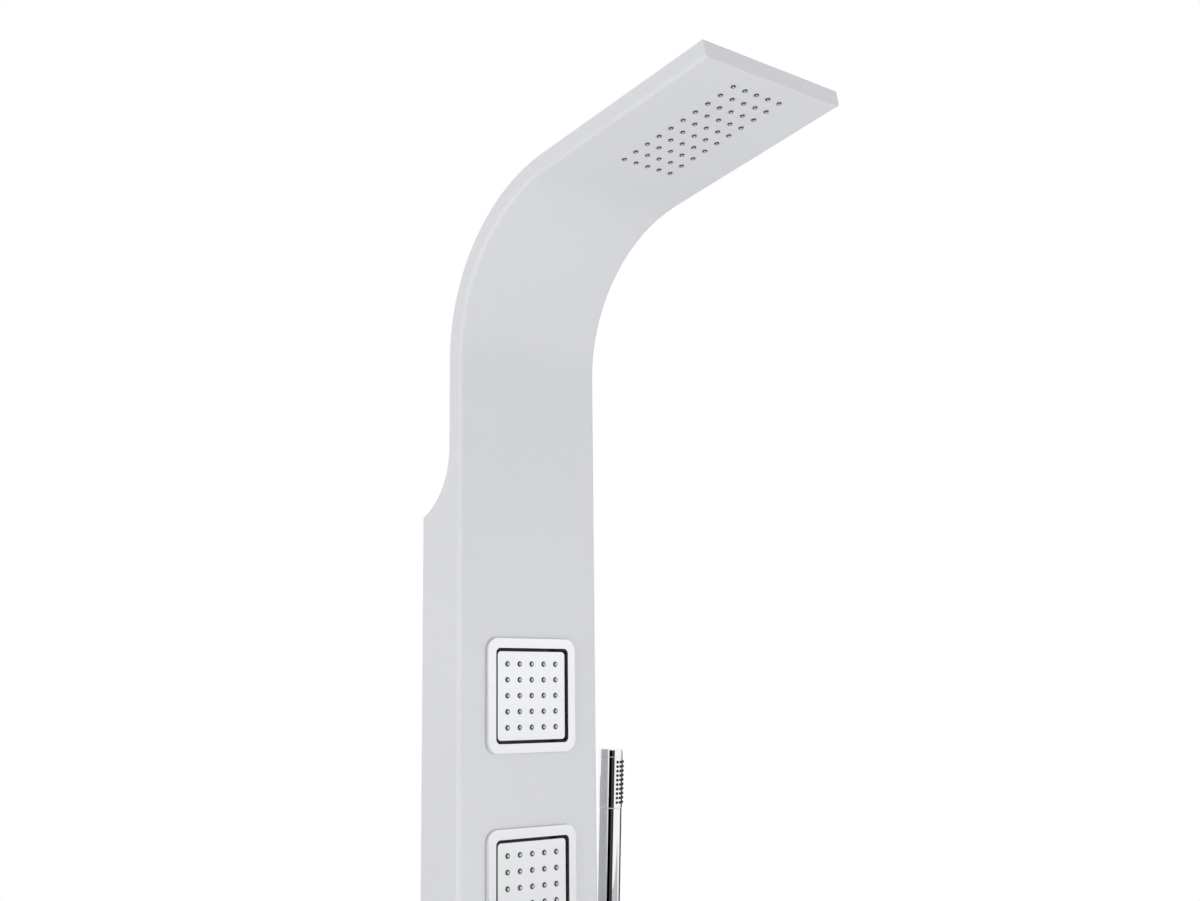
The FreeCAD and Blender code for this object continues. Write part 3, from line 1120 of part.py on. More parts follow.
def handset():
    """Drawn about its own axis, with the middle of its seat in the cradle at z = 0.

    Its spray faces away from the wall, turned outwards from -y by spray_turn.
    """
    inner_low = "(cone_radius - handle_wall)"
    handle = turned("handset_handle", [
        (inner_low, "-cone_bottom"), ("cone_radius", "-cone_bottom"), ("handle_radius", "cone_top"),
        ("handle_radius", "handle_top"), ("handle_radius - handle_wall", "handle_top"),
        ("handle_radius - handle_wall", "cone_top"),
    ])
    node("handset_handle", place(handle, HANDSET_SPOT, "handset_lean"))
    thread_end = "-cone_bottom - inlet_thread_length"
    plug = f"{inner_low} - cartridge_gap"
    inlet = turned("handset_inlet", [
        ("inlet_bore", thread_end), ("inlet_thread", thread_end), ("inlet_thread", "-cone_bottom"),
        (plug, "-cone_bottom"), (plug, "inlet_plug - cone_bottom"),
        ("inlet_bore", "inlet_plug - cone_bottom"),
    ])
    node("handset_inlet", place(inlet, HANDSET_SPOT, "handset_lean"))

    head_top = "(handle_top + head_length)"
    bore = "(head_radius - head_wall)"
    tube = turned("handset_head_tube", [
        (bore, "handle_top"), ("head_radius", "handle_top"), ("head_radius", head_top), (bore, head_top),
    ])
    head = cut("handset_head", tube, nubs("nub_radius + nub_gap", "head_radius + head_wall"))
    node("handset_head", place(head, HANDSET_SPOT, "handset_lean"))
    cap = turned("handset_cap", [
        ("0", f"{head_top} - top_cap_plug"), (f"{bore} - cartridge_gap", f"{head_top} - top_cap_plug"),
        (f"{bore} - cartridge_gap", head_top), ("head_radius", head_top),
        ("head_radius", f"{head_top} + top_cap_height - top_cap_edge", "left", "top_cap_edge"),
        ("head_radius - top_cap_edge", f"{head_top} + top_cap_height"), ("0", f"{head_top} + top_cap_height"),
    ])
    node("handset_cap", place(cap, HANDSET_SPOT, "handset_lean"))

    body = new_body("nozzle_insert")
    outer = f"({bore} - cartridge_gap)"
    inner = f"({outer} - insert_sheet)"
    ends = []
    for radius in (outer, inner):
        for side in ("-", "+"):
            angle = f"(spray_turn {side} insert_turn / 2)"
            ends.append((f"{radius} * sin({angle})", f"-{radius} * cos({angle})"))
    outline = [ends[0] + ("left", outer), ends[1], ends[3] + ("right", inner), ends[2]]
    low = "handle_top + handset_first_row - handset_row_pitch / 2"
    pad(body, draw(new_sketch(body, "XY", low), outline), "handset_rows * handset_row_pitch")
    insert = fuse("handset_nozzles", [body] + nubs("nub_radius", "head_radius + nub_reach"))
    node("handset_nozzles", place(insert, HANDSET_SPOT, "handset_lean"))


def nubs(radius, reach):
    """Small rods that fan out from the handset's axis, in rows up the head."""
    rods = []
    start = "(head_radius - head_wall - insert_sheet)"
    rows, columns = int(number("handset_rows")), int(number("handset_columns"))
    for row in range(rows):
        for column in range(columns):
            angle = f"(spray_turn + {column - (columns - 1) / 2} * handset_fan)"
            spot = (f"{start} * sin({angle})", f"-{start} * cos({angle})",
                    f"handle_top + handset_first_row + {row} * handset_row_pitch")
            nub = rod("nub", radius, f"{reach} - {start}", spot, "90")
            bind(nub, ".Placement.Rotation.Axis.x", f"cos({angle})")
            bind(nub, ".Placement.Rotation.Axis.y", f"sin({angle})")
            rods.append(nub)
    return rods


# ---------------------------------------------------------------- the whole part
def build():
    front_panel()
    neck_back_cover()
    cover_blocks_and_screws()
    bottom_cap()
    for side, drop in (("upper", "0"), ("lower", "low_bracket_drop")):
        wall_bracket(side + "_wall_bracket", drop)
        hanger_rail(side + "_hanger_rail", drop)
    head_nozzle_mat()
    head_chamber()
    head_nuts()
    jets()
    valve_body()
    diverter()
    mixer()
    inlet_union("hot_inlet_union", "-")
    inlet_union("cold_inlet_union", "")
    head_hose()
    inner_hoses()
    hose_ferrules()
    outlet_elbow()
    holder()
    holder_cradle()
    handset()


def write_nodes():
    """Sees that every object and every sub-part is sound, then writes each sub-part's file."""
    doc.removeObject(ruler.Name)
    doc.recompute()
    for item in doc.Objects:
        if {"Invalid", "Error"} & set(item.State):
            raise ValueError(f"{item.Name} ({item.Label}) failed: {item.State}")
    for item in NODES:
        if item.Shape.isNull() or not item.Shape.isValid() or not item.Shape.Solids:
            raise ValueError(f"{item.Label} has no sound solid")
    os.makedirs("parts", exist_ok=True)
    for item in NODES:
        item.Shape.exportStep(f"parts/{item.Label}.step")
    print(f"{len(NODES)} sub-parts written")


build()
write_nodes()
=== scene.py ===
"""Shower panel column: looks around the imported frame.

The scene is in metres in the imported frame: X to the right as seen from the front, Y into the wall, Z up.
The object's sizes are written in millimetres. Small pieces are modelled about their own axis (z out of
the face that carries them) and then put in place, so their objects end at the origin with their place in
the mesh.
"""
import json
import math

import bmesh
import bpy
from mathutils import Matrix, Vector


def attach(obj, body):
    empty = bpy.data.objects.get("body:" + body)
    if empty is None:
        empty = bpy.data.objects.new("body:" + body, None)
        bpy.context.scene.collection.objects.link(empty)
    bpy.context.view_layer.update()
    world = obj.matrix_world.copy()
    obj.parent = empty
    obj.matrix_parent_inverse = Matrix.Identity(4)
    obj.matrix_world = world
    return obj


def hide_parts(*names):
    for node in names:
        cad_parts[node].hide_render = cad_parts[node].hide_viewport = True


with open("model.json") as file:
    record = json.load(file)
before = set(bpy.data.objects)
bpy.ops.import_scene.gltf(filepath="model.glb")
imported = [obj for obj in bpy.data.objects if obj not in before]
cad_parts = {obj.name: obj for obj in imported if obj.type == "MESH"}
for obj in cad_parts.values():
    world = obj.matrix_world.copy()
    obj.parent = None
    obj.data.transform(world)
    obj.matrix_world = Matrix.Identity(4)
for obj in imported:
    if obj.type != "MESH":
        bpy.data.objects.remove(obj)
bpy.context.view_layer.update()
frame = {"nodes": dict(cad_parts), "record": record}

MM = 0.001
MERGE_DISTANCE = 2 * MM / 1000
SMOOTH_ANGLE = 32
ROUND_STEPS = 96
# the object, in millimetres and degrees
HALF_WIDTH = 86.5
FACE_Y = -57
BEND_START = 212
BEND_RADIUS = 157
BEND_TURN = 78.2
JET_HEIGHTS = {"upper": -110, "lower": -288}
JET_PITCH = 15
JET_NOZZLES = 5
PLATE_HALF, PLATE_CORNER, PLATE_BACK, PLATE_FRONT = 41.9, 3.7, 0.7, 2.2
NECK_DEPTH = 16
HEAD_ROWS, HEAD_COLUMNS = 10, 5
HEAD_ROW_PITCH, HEAD_COLUMN_PITCH, HEAD_FIRST_ROW = 15.5, 14.8, 48.3
DIVERTER_Z = -480
MIXER_Z = -620
HANDSET_SPOT = (121.5, -30, -367)
HANDSET_LEAN = 2.6
HANDSET_FOOT = -18
SPRAY_TURN = 32
SPRAY_FAN = 20
SPRAY_ROWS, SPRAY_COLUMNS = 10, 5
SPRAY_ROW_PITCH, SPRAY_FIRST_ROW = 4.45, 150.5
THREAD_CORE, THREAD_CREST, THREAD_PITCH, THREAD_BORE = 9.4, 10.4, 1.8, 4.5
# the studio, in metres and degrees
FOOT = -0.886
FLOOR_SIDE = 6
WORLD_LEVEL = 0.45
# name, place, aim, size, watts
LAMPS = (
    ("key", (-2.7, -0.45, 0.0), (0, 0, -0.1), 1.8, 27),
    ("low", (0.1, -1.4, -0.84), (0, -0.1, 0.1), 2.2, 26),
    ("top", (0, 0.9, 3.0), (0, 0.3, -0.9), 2.4, 75),
)
# name, first and last bearing to the right of the camera, grey level
CARDS = (
    ("card_black", -15, 10, 0.0),
    ("card_dark", 10, 38, 0.05),
    ("card_right", 123, 178, 0.05),
    ("card_rear", -115, -88, 0.35),
)
CARD_MIDDLE = (0.12, -0.03)
CARD_TOWARD = (-0.678, -0.735)
CARD_DISTANCE = 2.2
CARD_LOW, CARD_HIGH = -0.88, -0.28
CAMERA_SPOT = (-0.9818, -1.2304, -0.1119)
CAMERA_TURN, CAMERA_PITCH, CAMERA_ROLL = 42.52, 8.926, -0.574
CAMERA_CLIP = 0.01
# the camera's lens and sensor, in millimetres
CAMERA_LENS, CAMERA_SENSOR = 47.06, 36.0
# node, edge radius in millimetres, slot, body, finish if it isn't the slot's own
SOFTENED = (
    ("holder_cradle", 0.8, "chrome", "cradle", None),
    ("holder_base", 0.4, "chrome", "column", None),
    ("upper_jet_bezel", 0.45, "chrome", "column", "chrome_satin"),
    ("lower_jet_bezel", 0.45, "chrome", "column", "chrome_satin"),
    ("valve_body", 0.6, "brass", "column", None),
    ("diverter_gland_nut", 0.5, "brass", "column", None),
    ("upper_jet_housing", 0.6, "grey_plastic", "column", None),
    ("lower_jet_housing", 0.6, "grey_plastic", "column", None),
    ("bottom_cap", 0.5, "grey_plastic", "column", None),
    ("head_chamber", 0.6, "grey_plastic", "column", None),
    ("upper_wall_bracket", 0.4, "steel", "column", None),
    ("lower_wall_bracket", 0.4, "steel", "column", None),
    ("upper_hanger_rail", 0.4, "steel", "column", None),
    ("lower_hanger_rail", 0.4, "steel", "column", None),
)


# ---------------------------------------------------------------- places
def shift(x, y, z):
    return Matrix.Translation(Vector((x, y, z)) * MM)


def turn(degrees, axis="X"):
    return Matrix.Rotation(math.radians(degrees), 4, axis)


def on_face(x=0, z=0):
    """A place on the panel's face, with z out of it and y up."""
    return shift(x, FACE_Y, z) @ turn(90)


def on_arm():
    """The bend's end on the face, with z out of it and y along the arm."""
    bend = math.radians(BEND_TURN)
    y = FACE_Y - BEND_RADIUS * (1 - math.cos(bend))
    return shift(0, y, BEND_START + BEND_RADIUS * math.sin(bend)) @ turn(90 + BEND_TURN)


def on_handset():
    """The handset's axis, with z up along it."""
    return shift(*HANDSET_SPOT) @ turn(HANDSET_LEAN)


# ---------------------------------------------------------------- shader maths
class Value:
    """A socket's value that can be written in sums; each operator adds one Math node."""

    def __init__(self, nodes, socket):
        self.nodes, self.socket = nodes, socket

    def sum(self, operation, first, second):
        return self.nodes.node("ShaderNodeMath", {"operation": operation}, {0: first, 1: second})

    def __add__(self, other):
        return self.sum("ADD", self, other)

    def __radd__(self, other):
        return self.sum("ADD", other, self)

    def __rsub__(self, other):
        return self.sum("SUBTRACT", other, self)

    def __mul__(self, other):
        return self.sum("MULTIPLY", self, other)

    def __rmul__(self, other):
        return self.sum("MULTIPLY", other, self)

    def over(self, low, high):
        """0 below low, 1 above high, even between."""
        return self.nodes.node("ShaderNodeMapRange", {"clamp": True},
                               {0: self, 1: low, 2: high, 3: 0.0, 4: 1.0})

    def is_over(self, limit):
        return self.sum("GREATER_THAN", self, limit)


class Nodes:
    """The nodes of a material or of the world; each comes from node()."""

    def __init__(self, tree):
        self.tree = tree

    def node(self, kind, settings, inputs, output=0):
        made = self.tree.nodes.new(kind)
        for name, value in settings.items():
            setattr(made, name, value)
        for name, value in inputs.items():
            if isinstance(value, Value):
                self.tree.links.new(value.socket, made.inputs[name])
            else:
                made.inputs[name].default_value = value
        return Value(self, made.outputs[output])


class Finish(Nodes):
    """A material with one Principled shader."""

    def __init__(self, name, colour, metallic, roughness, **more):
        self.material = bpy.data.materials.new(name)
        self.material.use_nodes = True
        super().__init__(self.material.node_tree)
        self.shader = self.tree.nodes["Principled BSDF"]
        self.set("Base Color", (*colour, 1))
        self.set("Metallic", metallic)
        self.set("Roughness", roughness)
        for socket, value in more.items():
            self.set(socket.replace("_", " ").title(), value)

    def set(self, socket, value):
        if isinstance(value, Value):
            self.tree.links.new(value.socket, self.shader.inputs[socket])
        else:
            self.shader.inputs[socket].default_value = value

    def place(self):
        return self.node("ShaderNodeTexCoord", {}, {}, "Object")

    def along(self, letter):
        return self.node("ShaderNodeSeparateXYZ", {}, {0: self.place()}, "XYZ".index(letter))

    def noise(self, scale, detail, stretch=(1, 1, 1)):
        stretched = self.node("ShaderNodeMapping", {}, {"Vector": self.place(), "Scale": stretch})
        return self.node("ShaderNodeTexNoise", {}, {"Vector": stretched, "Scale": scale, "Detail": detail},
                         "Fac")

    def cells(self, scale):
        return self.node("ShaderNodeTexVoronoi", {}, {"Vector": self.place(), "Scale": scale}, "Distance")

    def mix(self, factor, first, second):
        """Between two colours."""
        colours = [(*c, 1) if isinstance(c, tuple) else c for c in (first, second)]
        return self.node("ShaderNodeMix", {"data_type": "RGBA"},
                         {0: factor, 6: colours[0], 7: colours[1]}, 2)

    def bump(self, height, strength, distance):
        self.set("Normal", self.node("ShaderNodeBump", {},
                                     {"Height": height, "Strength": strength, "Distance": distance},
                                     "Normal"))
        return self


def panel_silver():
    """Satin silver coat: fine pearly grain, hardly uneven, a little rougher in patches."""
    finish = Finish("panel_silver", (0.66, 0.665, 0.695), 0.1, 0.42,
                    coat_weight=0.15, coat_roughness=0.25)
    grain, cloud = finish.noise(2600.0, 1.0), finish.noise(6.0, 3.0)
    tint = finish.mix(cloud.over(0.3, 0.7), (0.644, 0.65, 0.68), (0.674, 0.68, 0.71))
    finish.set("Base Color", finish.mix(grain.over(0.42, 0.72), tint, (0.738, 0.745, 0.775)))
    finish.set("Roughness", 0.36 + 0.07 * cloud + 0.08 * grain)
    return finish.bump(grain, 0.06, 0.0002)


def chrome(name, satin):
    """Chrome, polished where satin is 0: a hint of wiping marks and dried drops in the gloss."""
    finish = Finish(name, (0.86, 0.87, 0.885), 1.0, 0.04)
    wipe, drops = finish.noise(9.0, 4.0, (1, 1, 6)), finish.cells(190.0)
    finish.set("Base Color", finish.mix(wipe, (0.91, 0.92, 0.935), (0.88, 0.89, 0.91)))
    dried = 1 - drops.over(0.05, 0.14)
    finish.set("Roughness", satin + 0.025 + 0.035 * wipe.over(0.45, 0.7) + 0.05 * dried)
    return finish


def brass():
    finish = Finish("brass", (0.73, 0.57, 0.30), 1.0, 0.32)
    cast, stain = finish.noise(420.0, 3.0), finish.noise(30.0, 4.0)
    finish.set("Base Color", finish.mix(stain.over(0.4, 0.75), (0.74, 0.58, 0.31), (0.50, 0.36, 0.17)))
    finish.set("Roughness", 0.24 + 0.26 * stain + 0.1 * cast)
    return finish.bump(cast, 0.25, 0.0003)


def moulded(name, colour, roughness):
    """Moulded plastic: a fine spark-eroded grain and slight flow marks."""
    finish = Finish(name, colour, 0.0, roughness)
    skin, flow = finish.noise(900.0, 2.0), finish.noise(14.0, 3.0, (1, 1, 0.3))
    darker = tuple(0.86 * part for part in colour)
    finish.set("Base Color", finish.mix(flow.over(0.35, 0.75), colour, darker))
    finish.set("Roughness", roughness - 0.06 + 0.12 * skin)
    return finish.bump(skin, 0.2, 0.0002)


def hose_white():
    """A nylon hose with a fine wound rib and a slight yellowing in patches."""
    finish = Finish("hose_white", (0.78, 0.78, 0.75), 0.0, 0.38,
                    coat_weight=0.1, coat_roughness=0.3)
    wound = finish.node("ShaderNodeTexWave", {"wave_type": "BANDS", "bands_direction": "DIAGONAL"},
                        {"Vector": finish.place(), "Scale": 330.0, "Distortion": 0.3}, "Fac")
    cloud = finish.noise(18.0, 3.0)
    tint = finish.mix(cloud.over(0.35, 0.75), (0.80, 0.80, 0.77), (0.72, 0.70, 0.62))
    finish.set("Base Color", finish.mix(0.25 * wound, tint, (0.52, 0.52, 0.50)))
    finish.set("Roughness", 0.32 + 0.16 * wound)
    return finish.bump(wound, 0.35, 0.0004)


def rubber(name, colour):
    """Soft silicone: matt skin with a soft sheen and a faint bloom."""
    finish = Finish(name, colour, 0.0, 0.55, sheen_weight=0.15, sheen_roughness=0.4)
    skin, bloom = finish.noise(1500.0, 2.0), finish.noise(60.0, 3.0)
    lighter = tuple(min(1.0, part * 1.25 + 0.01) for part in colour)
    finish.set("Base Color", finish.mix(bloom.over(0.45, 0.8), colour, lighter))
    finish.set("Roughness", 0.46 + 0.16 * bloom)
    return finish.bump(skin, 0.15, 0.00015)


def steel():
    """Stainless steel brushed along X."""
    finish = Finish("steel", (0.62, 0.62, 0.63), 1.0, 0.34)
    lines, stain = finish.noise(900.0, 3.0, (0.03, 1, 1)), finish.noise(24.0, 3.0)
    finish.set("Base Color", finish.mix(lines, (0.55, 0.55, 0.56), (0.70, 0.70, 0.71)))
    finish.set("Roughness", 0.24 + 0.2 * lines + 0.08 * stain)
    return finish.bump(lines, 0.12, 0.0002)


def index_mark():
    """Red on the hot side and blue on the cold side, with a pale line between them."""
    finish = Finish("index_mark", (0.7, 0.05, 0.04), 0.0, 0.22, coat_weight=0.6, coat_roughness=0.05)
    x, cloud = finish.along("X"), finish.noise(400.0, 2.0)
    sides = finish.mix(x.is_over(0.0), (0.70, 0.045, 0.035), (0.035, 0.13, 0.55))
    line = x.is_over(-0.0004) * (1 - x.is_over(0.0004))
    finish.set("Base Color", finish.mix(line, sides, (0.85, 0.86, 0.87)))
    finish.set("Roughness", 0.18 + 0.1 * cloud)
    return finish


FINISHES = {
    "panel_silver": panel_silver(),
    "chrome": chrome("chrome", 0.0),
    "chrome_satin": chrome("chrome_satin", 0.3),
    "brass": brass(),
    "grey_plastic": moulded("grey_plastic", (0.30, 0.31, 0.32), 0.55),
    "white_nylon": moulded("white_nylon", (0.80, 0.80, 0.77), 0.42),
    # silicone is near-black: dark silicone that also paints the shade in the ring round each nozzle core,
    # on the nozzles and on the mat under them. The pale finish below is grey silicone brightened into a
    # painted highlight for the nozzle tops.
    "silicone": rubber("silicone", (0.045, 0.046, 0.05)),
    "grey_silicone_and_painted_highlight": rubber("grey_silicone_and_painted_highlight", (0.56, 0.57, 0.585)),
    "black_rubber": rubber("black_rubber", (0.018, 0.018, 0.02)),
    "hose_white": hose_white(),
    "steel": steel(),
    "index_mark": index_mark(),
}


def finish_node(name, slot):
    """Gives a carried-over node its finish."""
    mesh = frame["nodes"][name].data
    mesh.materials.clear()
    mesh.materials.append(FINISHES[slot].material)


for subpart in frame["record"]["subparts"]:
    finish_node(subpart["node"], subpart["material_slot"])


# ---------------------------------------------------------------- modelling by hand
def deselect():
    if bpy.context.object and bpy.context.object.mode != "OBJECT":
        bpy.ops.object.mode_set(mode="OBJECT")
    bpy.ops.object.select_all(action="DESELECT")


def take(piece):
    deselect()
    piece.select_set(True)
    bpy.context.view_layer.objects.active = piece
    return piece


def start(name):
    """Names the primitive that was just added and opens it in edit mode."""
    piece = bpy.context.object
    piece.name = piece.data.name = name
    bpy.ops.object.mode_set(mode="EDIT")
    bpy.ops.mesh.select_mode(type="VERT")
    return piece


def pick(piece, kind, test):
    """Selects the vertices or faces that pass a test."""
    bpy.ops.mesh.select_all(action="DESELECT")
    bpy.ops.mesh.select_mode(type="VERT" if kind == "verts" else "FACE")
    mesh = bmesh.from_edit_mesh(piece.data)
    for part in getattr(mesh, kind):
        if test(part):
            part.select = True
    mesh.select_flush_mode()
    bmesh.update_edit_mesh(piece.data)


def close_edit():
    bpy.ops.mesh.select_all(action="SELECT")
    bpy.ops.mesh.remove_doubles(threshold=MERGE_DISTANCE)
    bpy.ops.mesh.normals_make_consistent(inside=False)
    bpy.ops.object.mode_set(mode="OBJECT")


def modify(piece, kind, **settings):
    """Adds a modifier and applies it."""
    take(piece)
    modifier = piece.modifiers.new(kind.title(), kind)
    for name, value in settings.items():
        setattr(modifier, name, value)
    bpy.ops.object.modifier_apply(modifier=modifier.name)
    return piece


def bevel(piece, width, segments=3, angle=35):
    return modify(piece, "BEVEL", width=width * MM, segments=segments, limit_method="ANGLE",
                  angle_limit=math.radians(angle), harden_normals=False)


def settle(piece, place, slot, body, *nodes, finish=None):
    """Puts a piece in place with its finish, taken from its slot unless another finish is named, its body
    and the nodes that it stands for.
    """
    take(piece)
    piece.matrix_world = place
    bpy.ops.object.transform_apply(location=True, rotation=True, scale=True)
    bpy.ops.object.shade_smooth_by_angle(angle=math.radians(SMOOTH_ANGLE))
    modify(piece, "WEIGHTED_NORMAL", keep_sharp=True)
    piece.data.materials.clear()
    piece.data.materials.append(FINISHES[finish or slot].material)
    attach(piece, body)
    if nodes:
        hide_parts(*nodes)


def chain(name, points):
    """One vertex pulled out into a line of points, radius along x and height along z."""
    deselect()
    bpy.ops.mesh.primitive_plane_add(size=MM)
    piece = start(name)
    bpy.ops.mesh.merge(type="CENTER")
    spots = [Vector((radius, 0, height)) * MM for radius, height in points]
    bpy.ops.transform.translate(value=spots[0])
    for before, after in zip(spots, spots[1:]):
        bpy.ops.mesh.extrude_vertices_move(TRANSFORM_OT_translate={"value": after - before})
    return piece


def turned(name, points, steps=48):
    """A line of (radius, height) points spun about the piece's axis."""
    piece = chain(name, points)
    bpy.ops.mesh.select_all(action="SELECT")
    bpy.ops.mesh.spin(steps=steps, angle=2 * math.pi, center=(0, 0, 0), axis=(0, 0, 1))
    close_edit()
    return piece


def arc(radius, height, size, first, last, count=8):
    """Points on an arc about (radius, height), in degrees from the outward direction."""
    angles = [math.radians(first + (last - first) * step / count) for step in range(count + 1)]
    return [(radius + size * math.cos(angle), height + size * math.sin(angle)) for angle in angles]


def shoulder(edge, face, size, count=5):
    """The outer edge of a round plate, from its foot at height 0 over a rounding to its face."""
    return [(edge, 0)] + arc(edge - size, face - size, size, 0, 90, count)


def copies(name, model, places):
    """Copies of a model, each at its place, joined to one piece; the model itself goes."""
    made = []
    for place in places:
        twin = model.copy()
        twin.data = model.data.copy()
        bpy.context.collection.objects.link(twin)
        twin.matrix_world = place @ model.matrix_world
        made.append(twin)
    deselect()
    for twin in made:
        twin.select_set(True)
    bpy.context.view_layer.objects.active = made[0]
    bpy.ops.object.join()
    piece = bpy.context.object
    piece.name = piece.data.name = name
    bpy.ops.object.transform_apply(location=True, rotation=True, scale=True)
    bpy.data.objects.remove(model)
    return piece


def cube(name, low, high):
    """A box between two corners, open in edit mode."""
    deselect()
    bpy.ops.mesh.primitive_cube_add(size=1)
    piece = start(name)
    size = [(b - a) * MM for a, b in zip(low, high)]
    middle = [(a + b) / 2 * MM for a, b in zip(low, high)]
    bpy.ops.transform.resize(value=size)
    bpy.ops.transform.translate(value=middle)
    return piece


def slice_along_y(*places):
    """Divides the open piece by a plane across its y axis at each place."""
    for place in places:
        bpy.ops.mesh.select_all(action="SELECT")
        bpy.ops.mesh.bisect(plane_co=(0, place * MM, 0), plane_no=(0, 1, 0))


def cut(piece, tool):
    """Takes a tool's shape out of a piece; the tool itself goes."""
    modify(piece, "BOOLEAN", object=tool, operation="DIFFERENCE", solver="EXACT")
    bpy.data.objects.remove(tool)
    return piece


def drill(piece, radius, low, high):
    """Cuts a round hole along a piece's axis with a cylinder."""
    deselect()
    bpy.ops.mesh.primitive_cylinder_add(vertices=32, radius=radius * MM, depth=(high - low) * MM,
                                        location=(0, 0, (low + high) / 2 * MM))
    bpy.ops.object.transform_apply(location=True, rotation=True, scale=True)
    return cut(piece, bpy.context.object)


def grid_places(base, columns, rows, column_pitch, row_pitch, first_row):
    return [base @ shift((column - (columns - 1) / 2) * column_pitch, first_row + row * row_pitch, 0)
            for column in range(columns) for row in range(rows)]


# ---------------------------------------------------------------- spray nozzles
def nozzle(name, radius, back, top):
    """A soft nozzle: a foot under the plate, a rounded lip and a cup for its core."""
    lip = radius / 5
    cup = radius * 0.56
    return turned(name, [(0, back), (radius, back), (radius * 0.93, top - lip)]
                  + arc(radius * 0.93 - lip, top - lip, lip, 0, 90, 4)[1:]
                  + [(cup, top), (cup, top - 0.35), (0, top - 0.35)], 20)


def nozzle_core(name, radius, top):
    """The core in a nozzle's cup, grey silicone painted pale as a highlight, with a fine bore in a shallow
    cone.
    """
    edge, bore = radius * 0.56, radius * 0.16
    return turned(name, [(0, top - 0.4), (edge, top - 0.4), (edge, top - 0.1), (edge - 0.1, top)]
                  + [(bore * 2, top - 0.05), (bore, top - 0.25), (0, top - 0.25)], 16)


def nozzle_field(name, radius, back, top, places, body, *nodes):
    """A field of nozzles and a field of their cores: the nozzles' near-black is dark silicone and painted
    shade round each core, the cores' pale grey is silicone and painted highlight.
    """
    for part, model, finish in (("nozzles", nozzle("nozzle", radius, back, top), "silicone"),
                                ("cores", nozzle_core("core", radius, top), "grey_silicone_and_painted_highlight")):
        piece = copies(f"{name}_{part}", model, places)
        settle(piece, Matrix(), "silicone", body, *(nodes if part == "nozzles" else ()), finish=finish)


def jet_places(base):
    first = -(JET_NOZZLES - 1) / 2 * JET_PITCH
    return grid_places(base, JET_NOZZLES, JET_NOZZLES, JET_PITCH, JET_PITCH, first)


def jet_nozzles():
    """Each jet's nozzles, and the sheet that carries them under the plate."""
    radius, back, top, half = 2.4, -0.5, 3.1, 40
    for side, height in JET_HEIGHTS.items():
        nozzle_field(side + "_jet", radius, back, top, jet_places(on_face(z=height)),
                     side + "_jet_plate", side + "_jet_nozzle_mat")
        sheet = cube(side + "_jet_mat_sheet", (-half, -half, back), (half, half, PLATE_BACK))
        close_edit()
        settle(bevel(sheet, 0.3, 2), on_face(z=height), "silicone", side + "_jet_plate")


def head_nozzles():
    places = grid_places(on_arm(), HEAD_COLUMNS, HEAD_ROWS, HEAD_COLUMN_PITCH, HEAD_ROW_PITCH,
                         HEAD_FIRST_ROW)
    radius, back, top = 2.0, -2.6, 0.85
    nozzle_field("head", radius, back, top, places, "column")


def handset_nozzles():
    """Rows that fan out from the handset's axis, each nozzle a dome in a small collar."""
    model = turned("nub", [(0, 9.4), (1.5, 9.4), (1.5, 12.45), (1.2, 12.55)]
                   + arc(0.75, 13.0, 0.45, 0, 80, 4) + [(0.4, 13.4), (0.3, 13.0), (0, 13.0)], 12)
    places = [on_handset() @ shift(0, 0, SPRAY_FIRST_ROW + row * SPRAY_ROW_PITCH)
              @ turn(SPRAY_TURN + (column - (SPRAY_COLUMNS - 1) / 2) * SPRAY_FAN, "Z") @ turn(90)
              for row in range(SPRAY_ROWS) for column in range(SPRAY_COLUMNS)]
    piece = copies("handset_nubs", model, places)
    settle(piece, Matrix(), "black_rubber", "handset", "handset_nozzles")


def handset_tubes():
    """Handle, head and cap, each with its edges eased so that the seams show as fine lines."""
    handle = turned("handset_handle_tube",
                    [(8.5, HANDSET_FOOT), (10.2, HANDSET_FOOT), (10.5, HANDSET_FOOT + 0.3), (11.88, 15),
                     (11.9, 16), (11.9, 144.5), (11.5, 144.95), (9.9, 144.95), (9.9, 16),
                     (8.5, HANDSET_FOOT)], ROUND_STEPS)
    settle(handle, on_handset(), "chrome", "handset", "handset_handle")
    head = turned("handset_head_tube",
                  [(10.25, 145.05), (11.9, 145.05), (12.25, 145.4), (12.25, 195.2), (11.95, 195.45),
                   (10.25, 195.45), (10.25, 145.05)], ROUND_STEPS)
    settle(head, on_handset(), "chrome", "handset", "handset_head")
    cap = turned("handset_cap_top",
                 [(0, 193.5), (10.2, 193.5), (10.2, 195.55), (11.95, 195.55), (12.25, 195.85)]
                 + arc(11.05, 202.4, 1.2, 0, 80, 5) + [(8, 203.85), (0, 204)], ROUND_STEPS)
    settle(cap, on_handset(), "chrome", "handset", "handset_cap")


